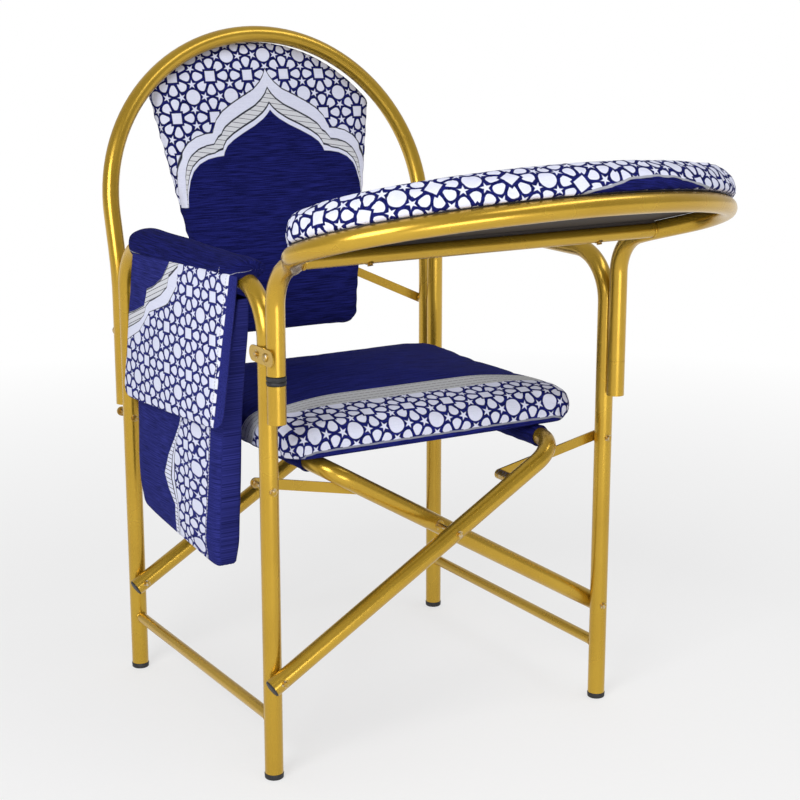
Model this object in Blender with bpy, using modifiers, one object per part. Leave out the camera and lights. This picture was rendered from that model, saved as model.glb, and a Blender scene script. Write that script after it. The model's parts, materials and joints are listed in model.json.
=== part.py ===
"""Folding prayer chair with a swing-out padded table, a lift-out arched back and a side bag.

The chair faces -Y, +X is the viewer's right and +Z is up. Two side frames of bent tube are joined by two
U-shaped tubes that cross in front and behind; four flat links guide the crossing frames as the chair folds.
"""
import math

import bmesh
import bpy
from mathutils import Matrix, Quaternion, Vector

for old_object in list(bpy.data.objects):
    bpy.data.objects.remove(old_object, do_unlink=True)

# Driving dimensions, in metres and degrees.
CLEARANCE = 0.0003
RUNNING_GAP = 0.0004
TUBE_DIAMETER = 0.025
TUBE_WALL = 0.0015
FRAME_WIDTH = 0.536
FRAME_DEPTH = 0.458
ARM_HEIGHT = 0.665
ARM_BEND = 0.070
STRETCHER_DIAMETER = 0.016
STRETCHER_HEIGHT = 0.084
FOOT_DIAMETER = 0.026
FOOT_HEIGHT = 0.004
PLUG_DEPTH = 0.016
PLUG_CAP = 0.003

PIVOT_HEIGHT = 0.146
CROSS_ANGLE = 30.8
RAIL_REACH = 0.512
RAIL_BEND = 0.045
CROSS_TAIL = 0.015
RIVET_SHANK = 0.006
RIVET_HEAD = 0.011
RIVET_HEAD_HEIGHT = 0.003
COLLAR_DIAMETER = 0.014

LINK_PIVOT_HEIGHT = 0.3995
LINK_POINT = 0.1147
LINK_WIDTH = 0.014
LINK_THICKNESS = 0.003

SLEEVE_THICKNESS = 0.0015
SEAT_WIDTH = 0.470
SEAT_DEPTH = 0.430
SEAT_RIM = 0.038
SEAT_CROWN = 0.0195
SEAT_CORNER = 0.050

SOCKET_LENGTH = 0.050
LEFT_SOCKET_TOP = 0.543
RIGHT_SOCKET_TOP = 0.516
BUSH_HEIGHT = 0.012
PIN_DIAMETER = 0.014
PIN_DEPTH = 0.026
PIN_PLUG_LENGTH = 0.040
TABLE_CORNER_HEIGHT = 0.6863
TABLE_TILT = 17.6
POST_BEND = 0.060
RING_WIDTH = 0.614
RING_SIDE = 0.140
RING_FRONT = 0.185
BAR_DIAMETER = 0.020
BAR_REACH = 0.075
TABLE_REAR = 0.050
BOARD_THICKNESS = 0.005
TABLE_RIM = 0.034
TABLE_CROWN = 0.014
TABLE_SCREW_SPACING = 0.350
SCREW_DIAMETER = 0.005
SCREW_HEAD = 0.010
SCREW_HEAD_HEIGHT = 0.0025

KEEPER_LENGTH = 0.066
KEEPER_WIDTH = 0.021
KEEPER_THICKNESS = 0.002
KEEPER_DROP = 0.085

ARCH_FOOT = 0.415
ARCH_KINK = 0.611
ARCH_LEAN = 13.9
ARCH_SIDE = 0.0917
ARCH_RISE = 0.2634
ARCH_KINK_BEND = 0.300
PIN_HEIGHTS = (0.460, 0.560)
PIN_HEAD = 0.013
PIN_HEAD_THICKNESS = 0.003
BACK_LEAN = 12.2
BACK_FOOT = 0.500
BACK_FRONT = 0.2485
BACK_BOTTOM_WIDTH = 0.250
BACK_THICKNESS = 0.028
BACK_CORNER = 0.028
BACK_ARC_START = 42.5
BACK_OFFSET = 0.016
STAY_WIDTH = 0.014
STAY_THICKNESS = 0.003
STAY_HEIGHT = 0.524
STAY_STANDOFF = 0.0066
STAY_INNER = 0.112
STAY_RISE = 0.066
STAY_EASE = 0.0042

ARM_PAD_WIDTH = 0.040
ARM_PAD_LENGTH = 0.250
ARM_PAD_RIM = 0.016
ARM_PAD_CROWN = 0.006
COVER_DIAMETER = 0.049
COVER_FRONT_INSET = 0.071
COVER_REAR_INSET = 0.079
BAG_DEPTH = 0.043
BAG_INNER_OFFSET = 0.014
BAG_WALL = 0.003
BAG_TOP_INSET = 0.034
BAG_BOTTOM_INSET = 0.104
BAG_REAR_INSET = 0.070
BAG_DROP = 0.398
BAG_CORNER = 0.030
BAG_SHOULDER = 0.045
FLAP_DEPTH = 0.018
FLAP_TOP_DROP = 0.007
FLAP_FRONT_INSET = 0.061
FLAP_REAR_INSET = 0.070
FLAP_FRONT_DROP = 0.187
FLAP_REAR_DROP = 0.221
FLAP_CORNER = 0.015

TUBE_SIDES = 12
ROUND_STEPS = 8
BEND_STEP = 15.0

# Sizes that follow from the driving dimensions.
TUBE_RADIUS = TUBE_DIAMETER / 2
FACET = math.cos(math.pi / TUBE_SIDES)
PLUG_RADIUS = TUBE_RADIUS * FACET - TUBE_WALL - CLEARANCE
COVER_RADIUS = (TUBE_RADIUS + CLEARANCE) / FACET
LEG_X = FRAME_WIDTH / 2
LEG_Y = FRAME_DEPTH / 2
LEG_FOOT = FOOT_HEIGHT + CLEARANCE
TUBE_PITCH = TUBE_DIAMETER + RUNNING_GAP
CROSS_SLOPE = math.radians(CROSS_ANGLE)
ARM_LENGTH = LEG_X / math.cos(CROSS_SLOPE)
CROSS_HEIGHT = PIVOT_HEIGHT + ARM_LENGTH * math.sin(CROSS_SLOPE)
RAIL_X = RAIL_REACH * math.cos(CROSS_SLOPE) - LEG_X
RAIL_HEIGHT = PIVOT_HEIGHT + RAIL_REACH * math.sin(CROSS_SLOPE)
LINK_X = LINK_POINT * math.cos(CROSS_SLOPE)
LINK_HEIGHT = CROSS_HEIGHT + LINK_POINT * math.sin(CROSS_SLOPE)
HOLE_DIAMETER = RIVET_SHANK + 2 * CLEARANCE
POST_Y = -LEG_Y - TUBE_PITCH
ARCH_Y = LEG_Y + TUBE_PITCH
KEEPER_HEIGHT = ARM_HEIGHT - KEEPER_DROP
COVER_FRONT = COVER_FRONT_INSET - LEG_Y
COVER_REAR = LEG_Y - COVER_REAR_INSET
BAG_TOP_FRONT = BAG_TOP_INSET - LEG_Y
BAG_BOTTOM_FRONT = BAG_BOTTOM_INSET - LEG_Y
BAG_REAR = LEG_Y - BAG_REAR_INSET
BAG_BOTTOM = ARM_HEIGHT - BAG_DROP
FLAP_TOP = ARM_HEIGHT - FLAP_TOP_DROP
FLAP_FRONT = FLAP_FRONT_INSET - LEG_Y
FLAP_REAR = LEG_Y - FLAP_REAR_INSET
FLAP_FRONT_HEM = ARM_HEIGHT - FLAP_FRONT_DROP
FLAP_REAR_HEM = ARM_HEIGHT - FLAP_REAR_DROP
POST_FOOT = LEFT_SOCKET_TOP + CLEARANCE + BUSH_HEIGHT + CLEARANCE
TILT = math.radians(TABLE_TILT)
LEAN = math.radians(ARCH_LEAN)
RING_X = RING_WIDTH / 2
POST_TANGENT = POST_BEND * math.tan((math.pi / 2 - TILT) / 2)

chair = bpy.data.collections.new("folding_prayer_chair")
cutters = bpy.data.collections.new("folding_prayer_chair_cutters")
bpy.context.scene.collection.children.link(chair)
bpy.context.scene.collection.children.link(cutters)


def material(name, colour, roughness, metallic=0.0):
    """Make one plain surface."""
    surface = bpy.data.materials.new(name)
    surface.use_nodes = True
    shader = surface.node_tree.nodes["Principled BSDF"]
    shader.inputs["Base Color"].default_value = (*colour, 1.0)
    shader.inputs["Roughness"].default_value = roughness
    shader.inputs["Metallic"].default_value = metallic
    return surface


GOLD = ("gold_paint", (0.54, 0.32, 0.03), 0.32, 0.85)
STEEL = ("rivet_steel", (0.55, 0.52, 0.45), 0.35, 1.0)
BLACK = ("black_plastic", (0.012, 0.012, 0.014), 0.5, 0.0)
NAVY = ("navy_fabric", (0.018, 0.016, 0.11), 0.85, 0.0)
LATTICE = ("lattice_fabric", (0.62, 0.62, 0.76), 0.85, 0.0)
BOARD = ("dark_board", (0.03, 0.025, 0.025), 0.7, 0.0)


def joint_empty(name, location, parent=None):
    """Mark a joint's axis; the pieces that turn about it hang on this empty."""
    empty = bpy.data.objects.new(name, None)
    empty.empty_display_size = 0.05
    chair.objects.link(empty)
    empty.location = location
    if parent is not None:
        hang(empty, parent)
    return empty


def hang(piece, parent):
    """Parent a piece without moving it."""
    bpy.context.view_layer.update()
    piece.parent = parent
    piece.matrix_parent_inverse = parent.matrix_world.inverted()


def add_part(name, mesh, body, finish, matrix=None):
    """Put a mesh in the chair as one named piece of a body."""
    part = bpy.data.objects.new(name, mesh)
    chair.objects.link(part)
    if matrix is not None:
        part.matrix_world = matrix
    surface, colour, roughness, metallic = finish
    mesh.materials.append(material(f"{name}_{surface}", colour, roughness, metallic))
    hang(part, body)
    return part


def add_cutter(name, mesh, body, matrix):
    """Put a cutting shape in its own collection, out of the render."""
    cutter = bpy.data.objects.new(name, mesh)
    cutters.objects.link(cutter)
    cutter.matrix_world = matrix
    cutter.hide_render = True
    cutter.display_type = "WIRE"
    hang(cutter, body)
    return cutter


def as_cutter(piece):
    """Move a made piece to the cutting shapes, out of the render."""
    chair.objects.unlink(piece)
    cutters.objects.link(piece)
    piece.hide_render = True
    piece.display_type = "WIRE"
    return piece


def cut(part, cutter):
    """Take a cutter's shape out of a part."""
    step = part.modifiers.new("cut", "BOOLEAN")
    step.operation = "DIFFERENCE"
    step.object = cutter


def along(start, end):
    """Frame whose Z axis runs from start to end, with its origin midway."""
    start = Vector(start)
    end = Vector(end)
    turn = (end - start).to_track_quat("Z", "Y")
    return Matrix.Translation((start + end) / 2) @ turn.to_matrix().to_4x4()


def bore(part, start, end, diameter, sides=ROUND_STEPS):
    """Drill a round hole from start to end."""
    shape = bmesh.new()
    length = (Vector(end) - Vector(start)).length
    bmesh.ops.create_cone(
        shape, cap_ends=True, segments=sides, radius1=diameter / 2, radius2=diameter / 2, depth=length
    )
    mesh = bpy.data.meshes.new(f"{part.name}_bore")
    shape.to_mesh(mesh)
    shape.free()
    cut(part, add_cutter(f"{part.name}_bore", mesh, part.parent, along(start, end)))


def fillet(before, corner, after, radius):
    """Points of the arc that rounds a corner of a path."""
    toward_before = (before - corner).normalized()
    toward_after = (after - corner).normalized()
    turn = math.pi - toward_before.angle(toward_after)
    centre_line = (toward_before + toward_after).normalized()
    centre = corner + centre_line * (radius / math.cos(turn / 2))
    start = corner + toward_before * (radius * math.tan(turn / 2)) - centre
    end = corner + toward_after * (radius * math.tan(turn / 2)) - centre
    axis = start.cross(end).normalized()
    steps = max(2, math.ceil(turn / math.radians(BEND_STEP)))
    return [centre + Quaternion(axis, turn * step / steps) @ start for step in range(steps + 1)]


def rounded_path(corners, radius):
    """A path through corners with every inner corner rounded."""
    corners = [Vector(corner) for corner in corners]
    path = [corners[0]]
    for before, corner, after in zip(corners, corners[1:], corners[2:]):
        path.extend(fillet(before, corner, after, radius))
    path.append(corners[-1])
    return path


def rounded_outline(corners, radius):
    """A closed flat outline with rounded corners."""
    corners = [Vector((across, up, 0.0)) for across, up in corners]
    outline = []
    for index, corner in enumerate(corners):
        following = corners[(index + 1) % len(corners)]
        outline.extend(fillet(corners[index - 1], corner, following, radius))
    return [(point.x, point.y) for point in outline]


def circle(centre, diameter, sides=ROUND_STEPS):
    """Points round a circle."""
    angles = [2 * math.pi * step / sides for step in range(sides)]
    radius = diameter / 2
    return [(centre[0] + radius * math.cos(a), centre[1] + radius * math.sin(a)) for a in angles]


def curve_mesh(curve):
    """Turn a curve into a welded mesh and drop the curve."""
    carrier = bpy.data.objects.new("carrier", curve)
    chair.objects.link(carrier)
    graph = bpy.context.evaluated_depsgraph_get()
    mesh = bpy.data.meshes.new_from_object(carrier.evaluated_get(graph))
    bpy.data.objects.remove(carrier)
    bpy.data.curves.remove(curve)
    shape = bmesh.new()
    shape.from_mesh(mesh)
    bmesh.ops.remove_doubles(shape, verts=shape.verts, dist=0.00001)
    bmesh.ops.recalc_face_normals(shape, faces=shape.faces)
    shape.to_mesh(mesh)
    shape.free()
    return mesh


def tube_mesh(name, path, diameter, capped):
    """Round skin along a path, closed at its ends where it is capped."""
    curve = bpy.data.curves.new(name, "CURVE")
    curve.dimensions = "3D"
    curve.bevel_depth = diameter / 2
    curve.bevel_resolution = (TUBE_SIDES - 4) // 2
    curve.use_fill_caps = capped
    spline = curve.splines.new("POLY")
    spline.points.add(len(path) - 1)
    for point, place in zip(spline.points, path):
        point.co = (*place, 1.0)
    mesh = curve_mesh(curve)
    mesh.shade_smooth()
    return mesh


def tube(name, path, diameter, body, finish, wall=None):
    """A round tube along a path, hollow where a wall is given."""
    part = add_part(name, tube_mesh(name, path, diameter, wall is None), body, finish)
    if wall is not None:
        shell = part.modifiers.new("wall", "SOLIDIFY")
        shell.thickness = wall
        shell.offset = -1.0
    return part


def plate(name, outline, holes, thickness, body, finish, matrix):
    """A flat piece cut from an outline, with round holes; its middle plane is the frame's XY plane."""
    curve = bpy.data.curves.new(name, "CURVE")
    curve.dimensions = "2D"
    curve.fill_mode = "BOTH"
    curve.extrude = thickness / 2
    for loop in [outline, *holes]:
        spline = curve.splines.new("POLY")
        spline.use_cyclic_u = True
        spline.points.add(len(loop) - 1)
        for point, place in zip(spline.points, loop):
            point.co = (*place, 0.0, 1.0)
    return add_part(name, curve_mesh(curve), body, finish, matrix)


def turned(name, profile, body, finish, matrix, ring=False):
    """A turned piece: profile points are radius and height, from the top down its outer side."""
    mesh = bpy.data.meshes.new(name)
    edges = [(index, index + 1) for index in range(len(profile) - 1)]
    if ring:
        edges.append((len(profile) - 1, 0))
    mesh.from_pydata([(radius, 0.0, height) for radius, height in profile], edges, [])
    part = add_part(name, mesh, body, finish, matrix)
    spin = part.modifiers.new("turn", "SCREW")
    spin.axis = "Z"
    spin.steps = ROUND_STEPS if profile[0][0] == 0.0 else TUBE_SIDES
    spin.render_steps = spin.steps
    spin.use_merge_vertices = True
    spin.merge_threshold = 0.00001
    spin.use_smooth_shade = True
    return part


def dome(height, rise, diameter):
    """Rivet head from its crown to its rim; a negative rise gives the lower head."""
    radius = diameter / 2
    return [(0.0, height + rise), (0.6 * radius, height + 0.8 * rise), (radius, height)]


def rivet(name, frame, body, low, high, low_head=True, high_head=True, collar=None, finish=STEEL):
    """A rivet along its frame's Z axis; low and high are the faces that its heads clamp."""
    radius = RIVET_SHANK / 2
    if high_head:
        profile = dome(high + CLEARANCE, RIVET_HEAD_HEIGHT, RIVET_HEAD)
        profile.append((radius, high + CLEARANCE))
    else:
        profile = [(0.0, high), (radius, high)]
    if collar is not None:
        wide = COLLAR_DIAMETER / 2
        bottom, top = collar
        profile.extend([(radius, top), (wide, top), (wide, bottom), (radius, bottom)])
    if low_head:
        profile.append((radius, low - CLEARANCE))
        profile.extend(reversed(dome(low - CLEARANCE, -RIVET_HEAD_HEIGHT, RIVET_HEAD)))
    else:
        profile.extend([(radius, low), (0.0, low)])
    return turned(name, profile, body, finish, frame)


def facing(direction, x=0.0, y=0.0, z=0.0):
    """Frame whose Z axis is the given direction, through a point of that axis."""
    turn = Vector(direction).to_track_quat("Z", "Y")
    return Matrix.Translation((x, y, z)) @ turn.to_matrix().to_4x4()


def cushion(name, outline, centre, rings, body, finish, matrix):
    """A padded form: the outline is drawn up through rings of share, inset and height."""
    shape = bmesh.new()
    spokes = [Vector((across - centre[0], up - centre[1], 0.0)) for across, up in outline]
    middle = Vector((centre[0], centre[1], 0.0))

    def spot(spoke, ring):
        share, inset, height = ring
        reach = spoke.length * share - inset
        return middle + spoke.normalized() * reach + Vector((0.0, 0.0, height))

    face = shape.faces.new([shape.verts.new(spot(spoke, rings[0])) for spoke in spokes])
    order = list(face.verts)
    for ring in rings[1:]:
        grown = bmesh.ops.extrude_face_region(shape, geom=[face])
        if ring is not rings[1]:
            bmesh.ops.delete(shape, geom=[face], context="FACES_ONLY")
        face = next(item for item in grown["geom"] if isinstance(item, bmesh.types.BMFace))
        old_spots = [vert.co.copy() for vert in order]
        fresh = []
        for old_spot, spoke in zip(old_spots, spokes):
            vert = min(face.verts, key=lambda item: (item.co - old_spot).length)
            fresh.append((vert, spot(spoke, ring)))
        for vert, place in fresh:
            vert.co = place
        order = [vert for vert, place in fresh]
    bmesh.ops.recalc_face_normals(shape, faces=shape.faces)
    mesh = bpy.data.meshes.new(name)
    shape.to_mesh(mesh)
    shape.free()
    mesh.shade_smooth()
    mesh.set_sharp_from_angle(angle=math.radians(50))
    return add_part(name, mesh, body, finish, matrix)


def padded_rings(rim, crown, draw=0.012):
    """Rings of a cushion: sides drawn in at both seams, then a crown."""
    return [
        (1.0, draw, 0.0),
        (1.0, 0.2 * draw, 0.2 * rim),
        (1.0, 0.0, 0.5 * rim),
        (1.0, 0.2 * draw, 0.8 * rim),
        (1.0, draw, rim),
        (0.75, 0.0, rim + 0.62 * crown),
        (0.45, 0.0, rim + 0.92 * crown),
        (0.18, 0.0, rim + crown),
    ]


# Joint axes: each empty stands on the axis that its pieces turn about or slide along.
root = joint_empty("chair_root", (0.0, 0.0, 0.0))
left_frame = joint_empty("left_frame", (-LEG_X, 0.0, 0.0), root)
cross_a = joint_empty("cross_a", (-LEG_X, 0.0, PIVOT_HEIGHT), left_frame)
cross_b = joint_empty("cross_b", (0.0, 0.0, CROSS_HEIGHT), cross_a)
right_frame = joint_empty("right_frame", (LEG_X, 0.0, PIVOT_HEIGHT), cross_b)
left_links = joint_empty("left_links", (-LEG_X, 0.0, LINK_PIVOT_HEIGHT), left_frame)
right_links = joint_empty("right_links", (LEG_X, 0.0, LINK_PIVOT_HEIGHT), right_frame)
seat = joint_empty("seat", (RAIL_X, 0.0, RAIL_HEIGHT), cross_a)
table = joint_empty("table", (-LEG_X, POST_Y, POST_FOOT), left_frame)
back = joint_empty("back", (-LEG_X, ARCH_Y, ARCH_FOOT), left_frame)

# Side frames: a bent tube for two legs and the arm, a stretcher coped to the legs, and rubber feet.
side_tubes = {}
for side, sign, body in (("left", -1, left_frame), ("right", 1, right_frame)):
    leg_x = sign * LEG_X
    corners = [
        (leg_x, -LEG_Y, LEG_FOOT),
        (leg_x, -LEG_Y, ARM_HEIGHT),
        (leg_x, LEG_Y, ARM_HEIGHT),
        (leg_x, LEG_Y, LEG_FOOT),
    ]
    path = rounded_path(corners, ARM_BEND)
    side_tubes[side] = tube(f"{side}_side_tube", path, TUBE_DIAMETER, body, GOLD, TUBE_WALL)
    ends = [(leg_x, -LEG_Y, STRETCHER_HEIGHT), (leg_x, LEG_Y, STRETCHER_HEIGHT)]
    stretcher = tube(f"{side}_stretcher", ends, STRETCHER_DIAMETER, body, GOLD)
    for row, leg_y in (("front", -LEG_Y), ("rear", LEG_Y)):
        low = (leg_x, leg_y, STRETCHER_HEIGHT - STRETCHER_DIAMETER)
        high = (leg_x, leg_y, STRETCHER_HEIGHT + STRETCHER_DIAMETER)
        bore(stretcher, low, high, TUBE_DIAMETER + 2 * CLEARANCE, TUBE_SIDES)
        foot_profile = [
            (0.0, LEG_FOOT + PLUG_DEPTH),
            (PLUG_RADIUS, LEG_FOOT + PLUG_DEPTH),
            (PLUG_RADIUS, FOOT_HEIGHT),
            (FOOT_DIAMETER / 2, FOOT_HEIGHT),
            (FOOT_DIAMETER / 2, 0.0),
            (0.0, 0.0),
        ]
        turned(f"{side}_{row}_foot", foot_profile, body, BLACK, facing((0, 0, 1), leg_x, leg_y))

# Cross frames: U-shaped tubes that pivot on the legs; frame A runs in front of each leg row and frame B behind.
cross_tubes = {}
for letter, sign, body in (("a", 1, cross_a), ("b", -1, cross_b)):
    run = Vector((sign * math.cos(CROSS_SLOPE), 0.0, math.sin(CROSS_SLOPE)))
    row_shift = -sign * TUBE_PITCH
    pivot_front = Vector((-sign * LEG_X, -LEG_Y + row_shift, PIVOT_HEIGHT))
    pivot_rear = Vector((-sign * LEG_X, LEG_Y + row_shift, PIVOT_HEIGHT))
    corners = [
        pivot_front - run * CROSS_TAIL,
        pivot_front + run * RAIL_REACH,
        pivot_rear + run * RAIL_REACH,
        pivot_rear - run * CROSS_TAIL,
    ]
    path = rounded_path(corners, RAIL_BEND)
    cross_tubes[letter] = tube(f"cross_tube_{letter}", path, TUBE_DIAMETER, body, GOLD, TUBE_WALL)
    for row, pivot in (("front", pivot_front), ("rear", pivot_rear)):
        plug_profile = [
            (0.0, PLUG_DEPTH - RIVET_SHANK),
            (PLUG_RADIUS, PLUG_DEPTH - RIVET_SHANK),
            (PLUG_RADIUS, -CLEARANCE),
            (TUBE_RADIUS, -CLEARANCE),
            (TUBE_RADIUS - PLUG_CAP / 2, -PLUG_CAP),
            (0.0, -PLUG_CAP),
        ]
        end = pivot - run * CROSS_TAIL
        frame = facing(run, end.x, end.y, end.z)
        turned(f"cross_{letter}_{row}_plug", plug_profile, body, BLACK, frame)

# Pivots, crossings and links of both rows: every rivet runs along Y.
for row, leg_y in (("front", -LEG_Y), ("rear", LEG_Y)):
    leg_front = leg_y - TUBE_RADIUS
    leg_rear = leg_y + TUBE_RADIUS
    a_front = leg_front - TUBE_PITCH
    a_rear = leg_rear - TUBE_PITCH
    b_front = leg_front + TUBE_PITCH
    b_rear = leg_rear + TUBE_PITCH

    low = (-LEG_X, a_front - CLEARANCE, PIVOT_HEIGHT)
    high = (-LEG_X, leg_rear + CLEARANCE, PIVOT_HEIGHT)
    bore(side_tubes["left"], low, high, HOLE_DIAMETER)
    bore(cross_tubes["a"], low, high, HOLE_DIAMETER)
    frame = facing((0, 1, 0), -LEG_X, 0.0, PIVOT_HEIGHT)
    rivet(f"left_{row}_pivot_rivet", frame, left_frame, a_front, leg_rear)

    low = (LEG_X, leg_front - CLEARANCE, PIVOT_HEIGHT)
    high = (LEG_X, b_rear + CLEARANCE, PIVOT_HEIGHT)
    bore(side_tubes["right"], low, high, HOLE_DIAMETER)
    bore(cross_tubes["b"], low, high, HOLE_DIAMETER)
    frame = facing((0, 1, 0), LEG_X, 0.0, PIVOT_HEIGHT)
    rivet(f"right_{row}_pivot_rivet", frame, right_frame, leg_front, b_rear)

    low = (0.0, a_front - CLEARANCE, CROSS_HEIGHT)
    high = (0.0, b_rear + CLEARANCE, CROSS_HEIGHT)
    bore(cross_tubes["a"], low, high, HOLE_DIAMETER)
    bore(cross_tubes["b"], low, high, HOLE_DIAMETER)
    frame = facing((0, 1, 0), 0.0, 0.0, CROSS_HEIGHT)
    spacer = (a_rear + CLEARANCE, b_front - CLEARANCE)
    rivet(f"{row}_crossing_rivet", frame, cross_a, a_front, b_rear, collar=spacer)

    for side, sign, body, links in (("left", -1, left_frame, left_links), ("right", 1, right_frame, right_links)):
        outer = Vector((sign * LEG_X, LINK_PIVOT_HEIGHT))
        inner = Vector((sign * LINK_X, LINK_HEIGHT))
        link_front = (b_rear if side == "left" else leg_rear) + RUNNING_GAP
        link_rear = link_front + LINK_THICKNESS
        run = inner - outer
        half_length = run.length / 2
        outline = rounded_outline(
            [
                (-half_length - LINK_WIDTH / 2, -LINK_WIDTH / 2),
                (half_length + LINK_WIDTH / 2, -LINK_WIDTH / 2),
                (half_length + LINK_WIDTH / 2, LINK_WIDTH / 2),
                (-half_length - LINK_WIDTH / 2, LINK_WIDTH / 2),
            ],
            0.499 * LINK_WIDTH,
        )
        holes = [circle((-half_length, 0.0), HOLE_DIAMETER), circle((half_length, 0.0), HOLE_DIAMETER)]
        middle = (outer + inner) / 2
        tip = math.atan2(run.y, run.x)
        frame = Matrix.Translation((middle.x, (link_front + link_rear) / 2, middle.y))
        frame = frame @ Matrix.Rotation(-tip, 4, "Y") @ Matrix.Rotation(math.pi / 2, 4, "X")
        plate(f"{side}_{row}_link", outline, holes, LINK_THICKNESS, links, GOLD, frame)

        low = (outer.x, leg_front - CLEARANCE, outer.y)
        high = (outer.x, leg_rear + CLEARANCE, outer.y)
        bore(side_tubes[side], low, high, HOLE_DIAMETER)
        spacer = None
        if side == "left":
            spacer = (leg_rear + CLEARANCE, link_front - CLEARANCE)
        frame = facing((0, 1, 0), outer.x, 0.0, outer.y)
        rivet(f"{side}_{row}_link_rivet", frame, body, leg_front, link_rear, collar=spacer)

        frame = facing((0, 1, 0), inner.x, 0.0, inner.y)
        name = f"{side}_{row}_inner_rivet"
        if side == "left":
            rivet(name, frame, links, b_rear + CLEARANCE, link_rear, low_head=False)
        else:
            spacer = (a_rear + 2 * CLEARANCE, link_front - CLEARANCE)
            rivet(name, frame, links, a_rear + CLEARANCE, link_rear, low_head=False, collar=spacer)

# Seat: a fabric sleeve round each rail and one crowned cushion that lies on both.
sleeve_inner = COVER_RADIUS
sleeve_outer = sleeve_inner + SLEEVE_THICKNESS
sleeve_end = CLEARANCE + RAIL_BEND
for side, sign, body in (("left", -1, cross_b), ("right", 1, seat)):
    front = -LEG_Y - sign * TUBE_PITCH + sleeve_end
    rear = LEG_Y - sign * TUBE_PITCH - sleeve_end
    profile = [
        (sleeve_outer, rear),
        (sleeve_outer, front),
        (sleeve_inner, front),
        (sleeve_inner, rear),
    ]
    turned(f"seat_sleeve_{side}", profile, body, NAVY, facing((0, 1, 0), sign * RAIL_X, 0.0, RAIL_HEIGHT), True)
outline = rounded_outline(
    [
        (-SEAT_WIDTH / 2, -SEAT_DEPTH / 2),
        (SEAT_WIDTH / 2, -SEAT_DEPTH / 2),
        (SEAT_WIDTH / 2, SEAT_DEPTH / 2),
        (-SEAT_WIDTH / 2, SEAT_DEPTH / 2),
    ],
    SEAT_CORNER,
)
frame = Matrix.Translation((0.0, 0.0, RAIL_HEIGHT + sleeve_outer + CLEARANCE))
cushion("seat_cushion", outline, (0.0, 0.0), padded_rings(SEAT_RIM, SEAT_CROWN), seat, NAVY, frame)

# Table sockets on the front legs, with a plastic bush in the left one that the table's post turns in.
for side, sign, body, top in (
    ("left", -1, left_frame, LEFT_SOCKET_TOP),
    ("right", 1, right_frame, RIGHT_SOCKET_TOP),
):
    bottom = top - SOCKET_LENGTH
    path = [Vector((sign * LEG_X, POST_Y, bottom)), Vector((sign * LEG_X, POST_Y, top))]
    tube(f"{side}_table_socket", path, TUBE_DIAMETER, body, GOLD, TUBE_WALL)
bush_top = LEFT_SOCKET_TOP + CLEARANCE + BUSH_HEIGHT
bush_foot = LEFT_SOCKET_TOP - PIN_DEPTH
pin_hole = PIN_DIAMETER / 2 + CLEARANCE
bush_profile = [
    (TUBE_RADIUS, bush_top),
    (TUBE_RADIUS, LEFT_SOCKET_TOP + CLEARANCE),
    (PLUG_RADIUS, LEFT_SOCKET_TOP + CLEARANCE),
    (PLUG_RADIUS, bush_foot),
    (pin_hole, bush_foot),
    (pin_hole, bush_top),
]
post_frame = facing((0, 0, 1), -LEG_X, POST_Y)
turned("left_socket_bush", bush_profile, left_frame, BLACK, post_frame, True)

# Keeper plate on the outer side of the left front leg; it reaches over the post, which turns behind it.
keeper_face = -LEG_X - TUBE_RADIUS - CLEARANCE
keeper_y = (POST_Y - LEG_Y) / 2
outline = rounded_outline(
    [
        (-KEEPER_LENGTH / 2, -KEEPER_WIDTH / 2),
        (KEEPER_LENGTH / 2, -KEEPER_WIDTH / 2),
        (KEEPER_LENGTH / 2, KEEPER_WIDTH / 2),
        (-KEEPER_LENGTH / 2, KEEPER_WIDTH / 2),
    ],
    0.499 * KEEPER_WIDTH,
)
holes = [circle((TUBE_PITCH / 2, 0.0), HOLE_DIAMETER)]
frame = Matrix.Translation((keeper_face - KEEPER_THICKNESS / 2, keeper_y, KEEPER_HEIGHT))
frame = frame @ Matrix.Rotation(math.pi / 2, 4, "Z") @ Matrix.Rotation(math.pi / 2, 4, "X")
plate("keeper_plate", outline, holes, KEEPER_THICKNESS, left_frame, GOLD, frame)
rivet_end = -LEG_X - TUBE_RADIUS + 2 * TUBE_WALL
keeper_low = (keeper_face - KEEPER_THICKNESS, -LEG_Y, KEEPER_HEIGHT)
bore(side_tubes["left"], keeper_low, (rivet_end, -LEG_Y, KEEPER_HEIGHT), HOLE_DIAMETER)
rivet(
    "keeper_leg_rivet",
    facing((1, 0, 0), 0.0, -LEG_Y, KEEPER_HEIGHT),
    left_frame,
    keeper_face - KEEPER_THICKNESS,
    rivet_end - CLEARANCE,
    high_head=False,
)


# Table: ring tube with both posts, in a plane that rises toward the front.
def table_point(across, reach, above=0.0):
    """World point from the table plane's own coordinates."""
    y = POST_Y - reach * math.cos(TILT) + above * math.sin(TILT)
    z = TABLE_CORNER_HEIGHT + reach * math.sin(TILT) + above * math.cos(TILT)
    return Vector((across, y, z))


def ring_side(reach):
    """Half-width of the ring where it swells from the posts to its widest place."""
    share = min(1.0, max(0.0, (reach - POST_TANGENT) / (RING_SIDE - POST_TANGENT)))
    return LEG_X + (RING_X - LEG_X) * share * share * (3.0 - 2.0 * share)


def ring_half(grow=0.0, start=None):
    """Right half of the ring's outline, from the rear to the front tip, as across and reach."""
    first = POST_TANGENT if start is None else start
    points = []
    for step in range(6):
        reach = first + (RING_SIDE - first) * step / 6
        points.append((ring_side(reach) + grow, reach))
    for step in range(13):
        angle = math.pi / 2 * step / 12
        across = (RING_X + grow) * math.cos(angle)
        points.append((across, RING_SIDE + (RING_FRONT + grow) * math.sin(angle)))
    return points


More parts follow.
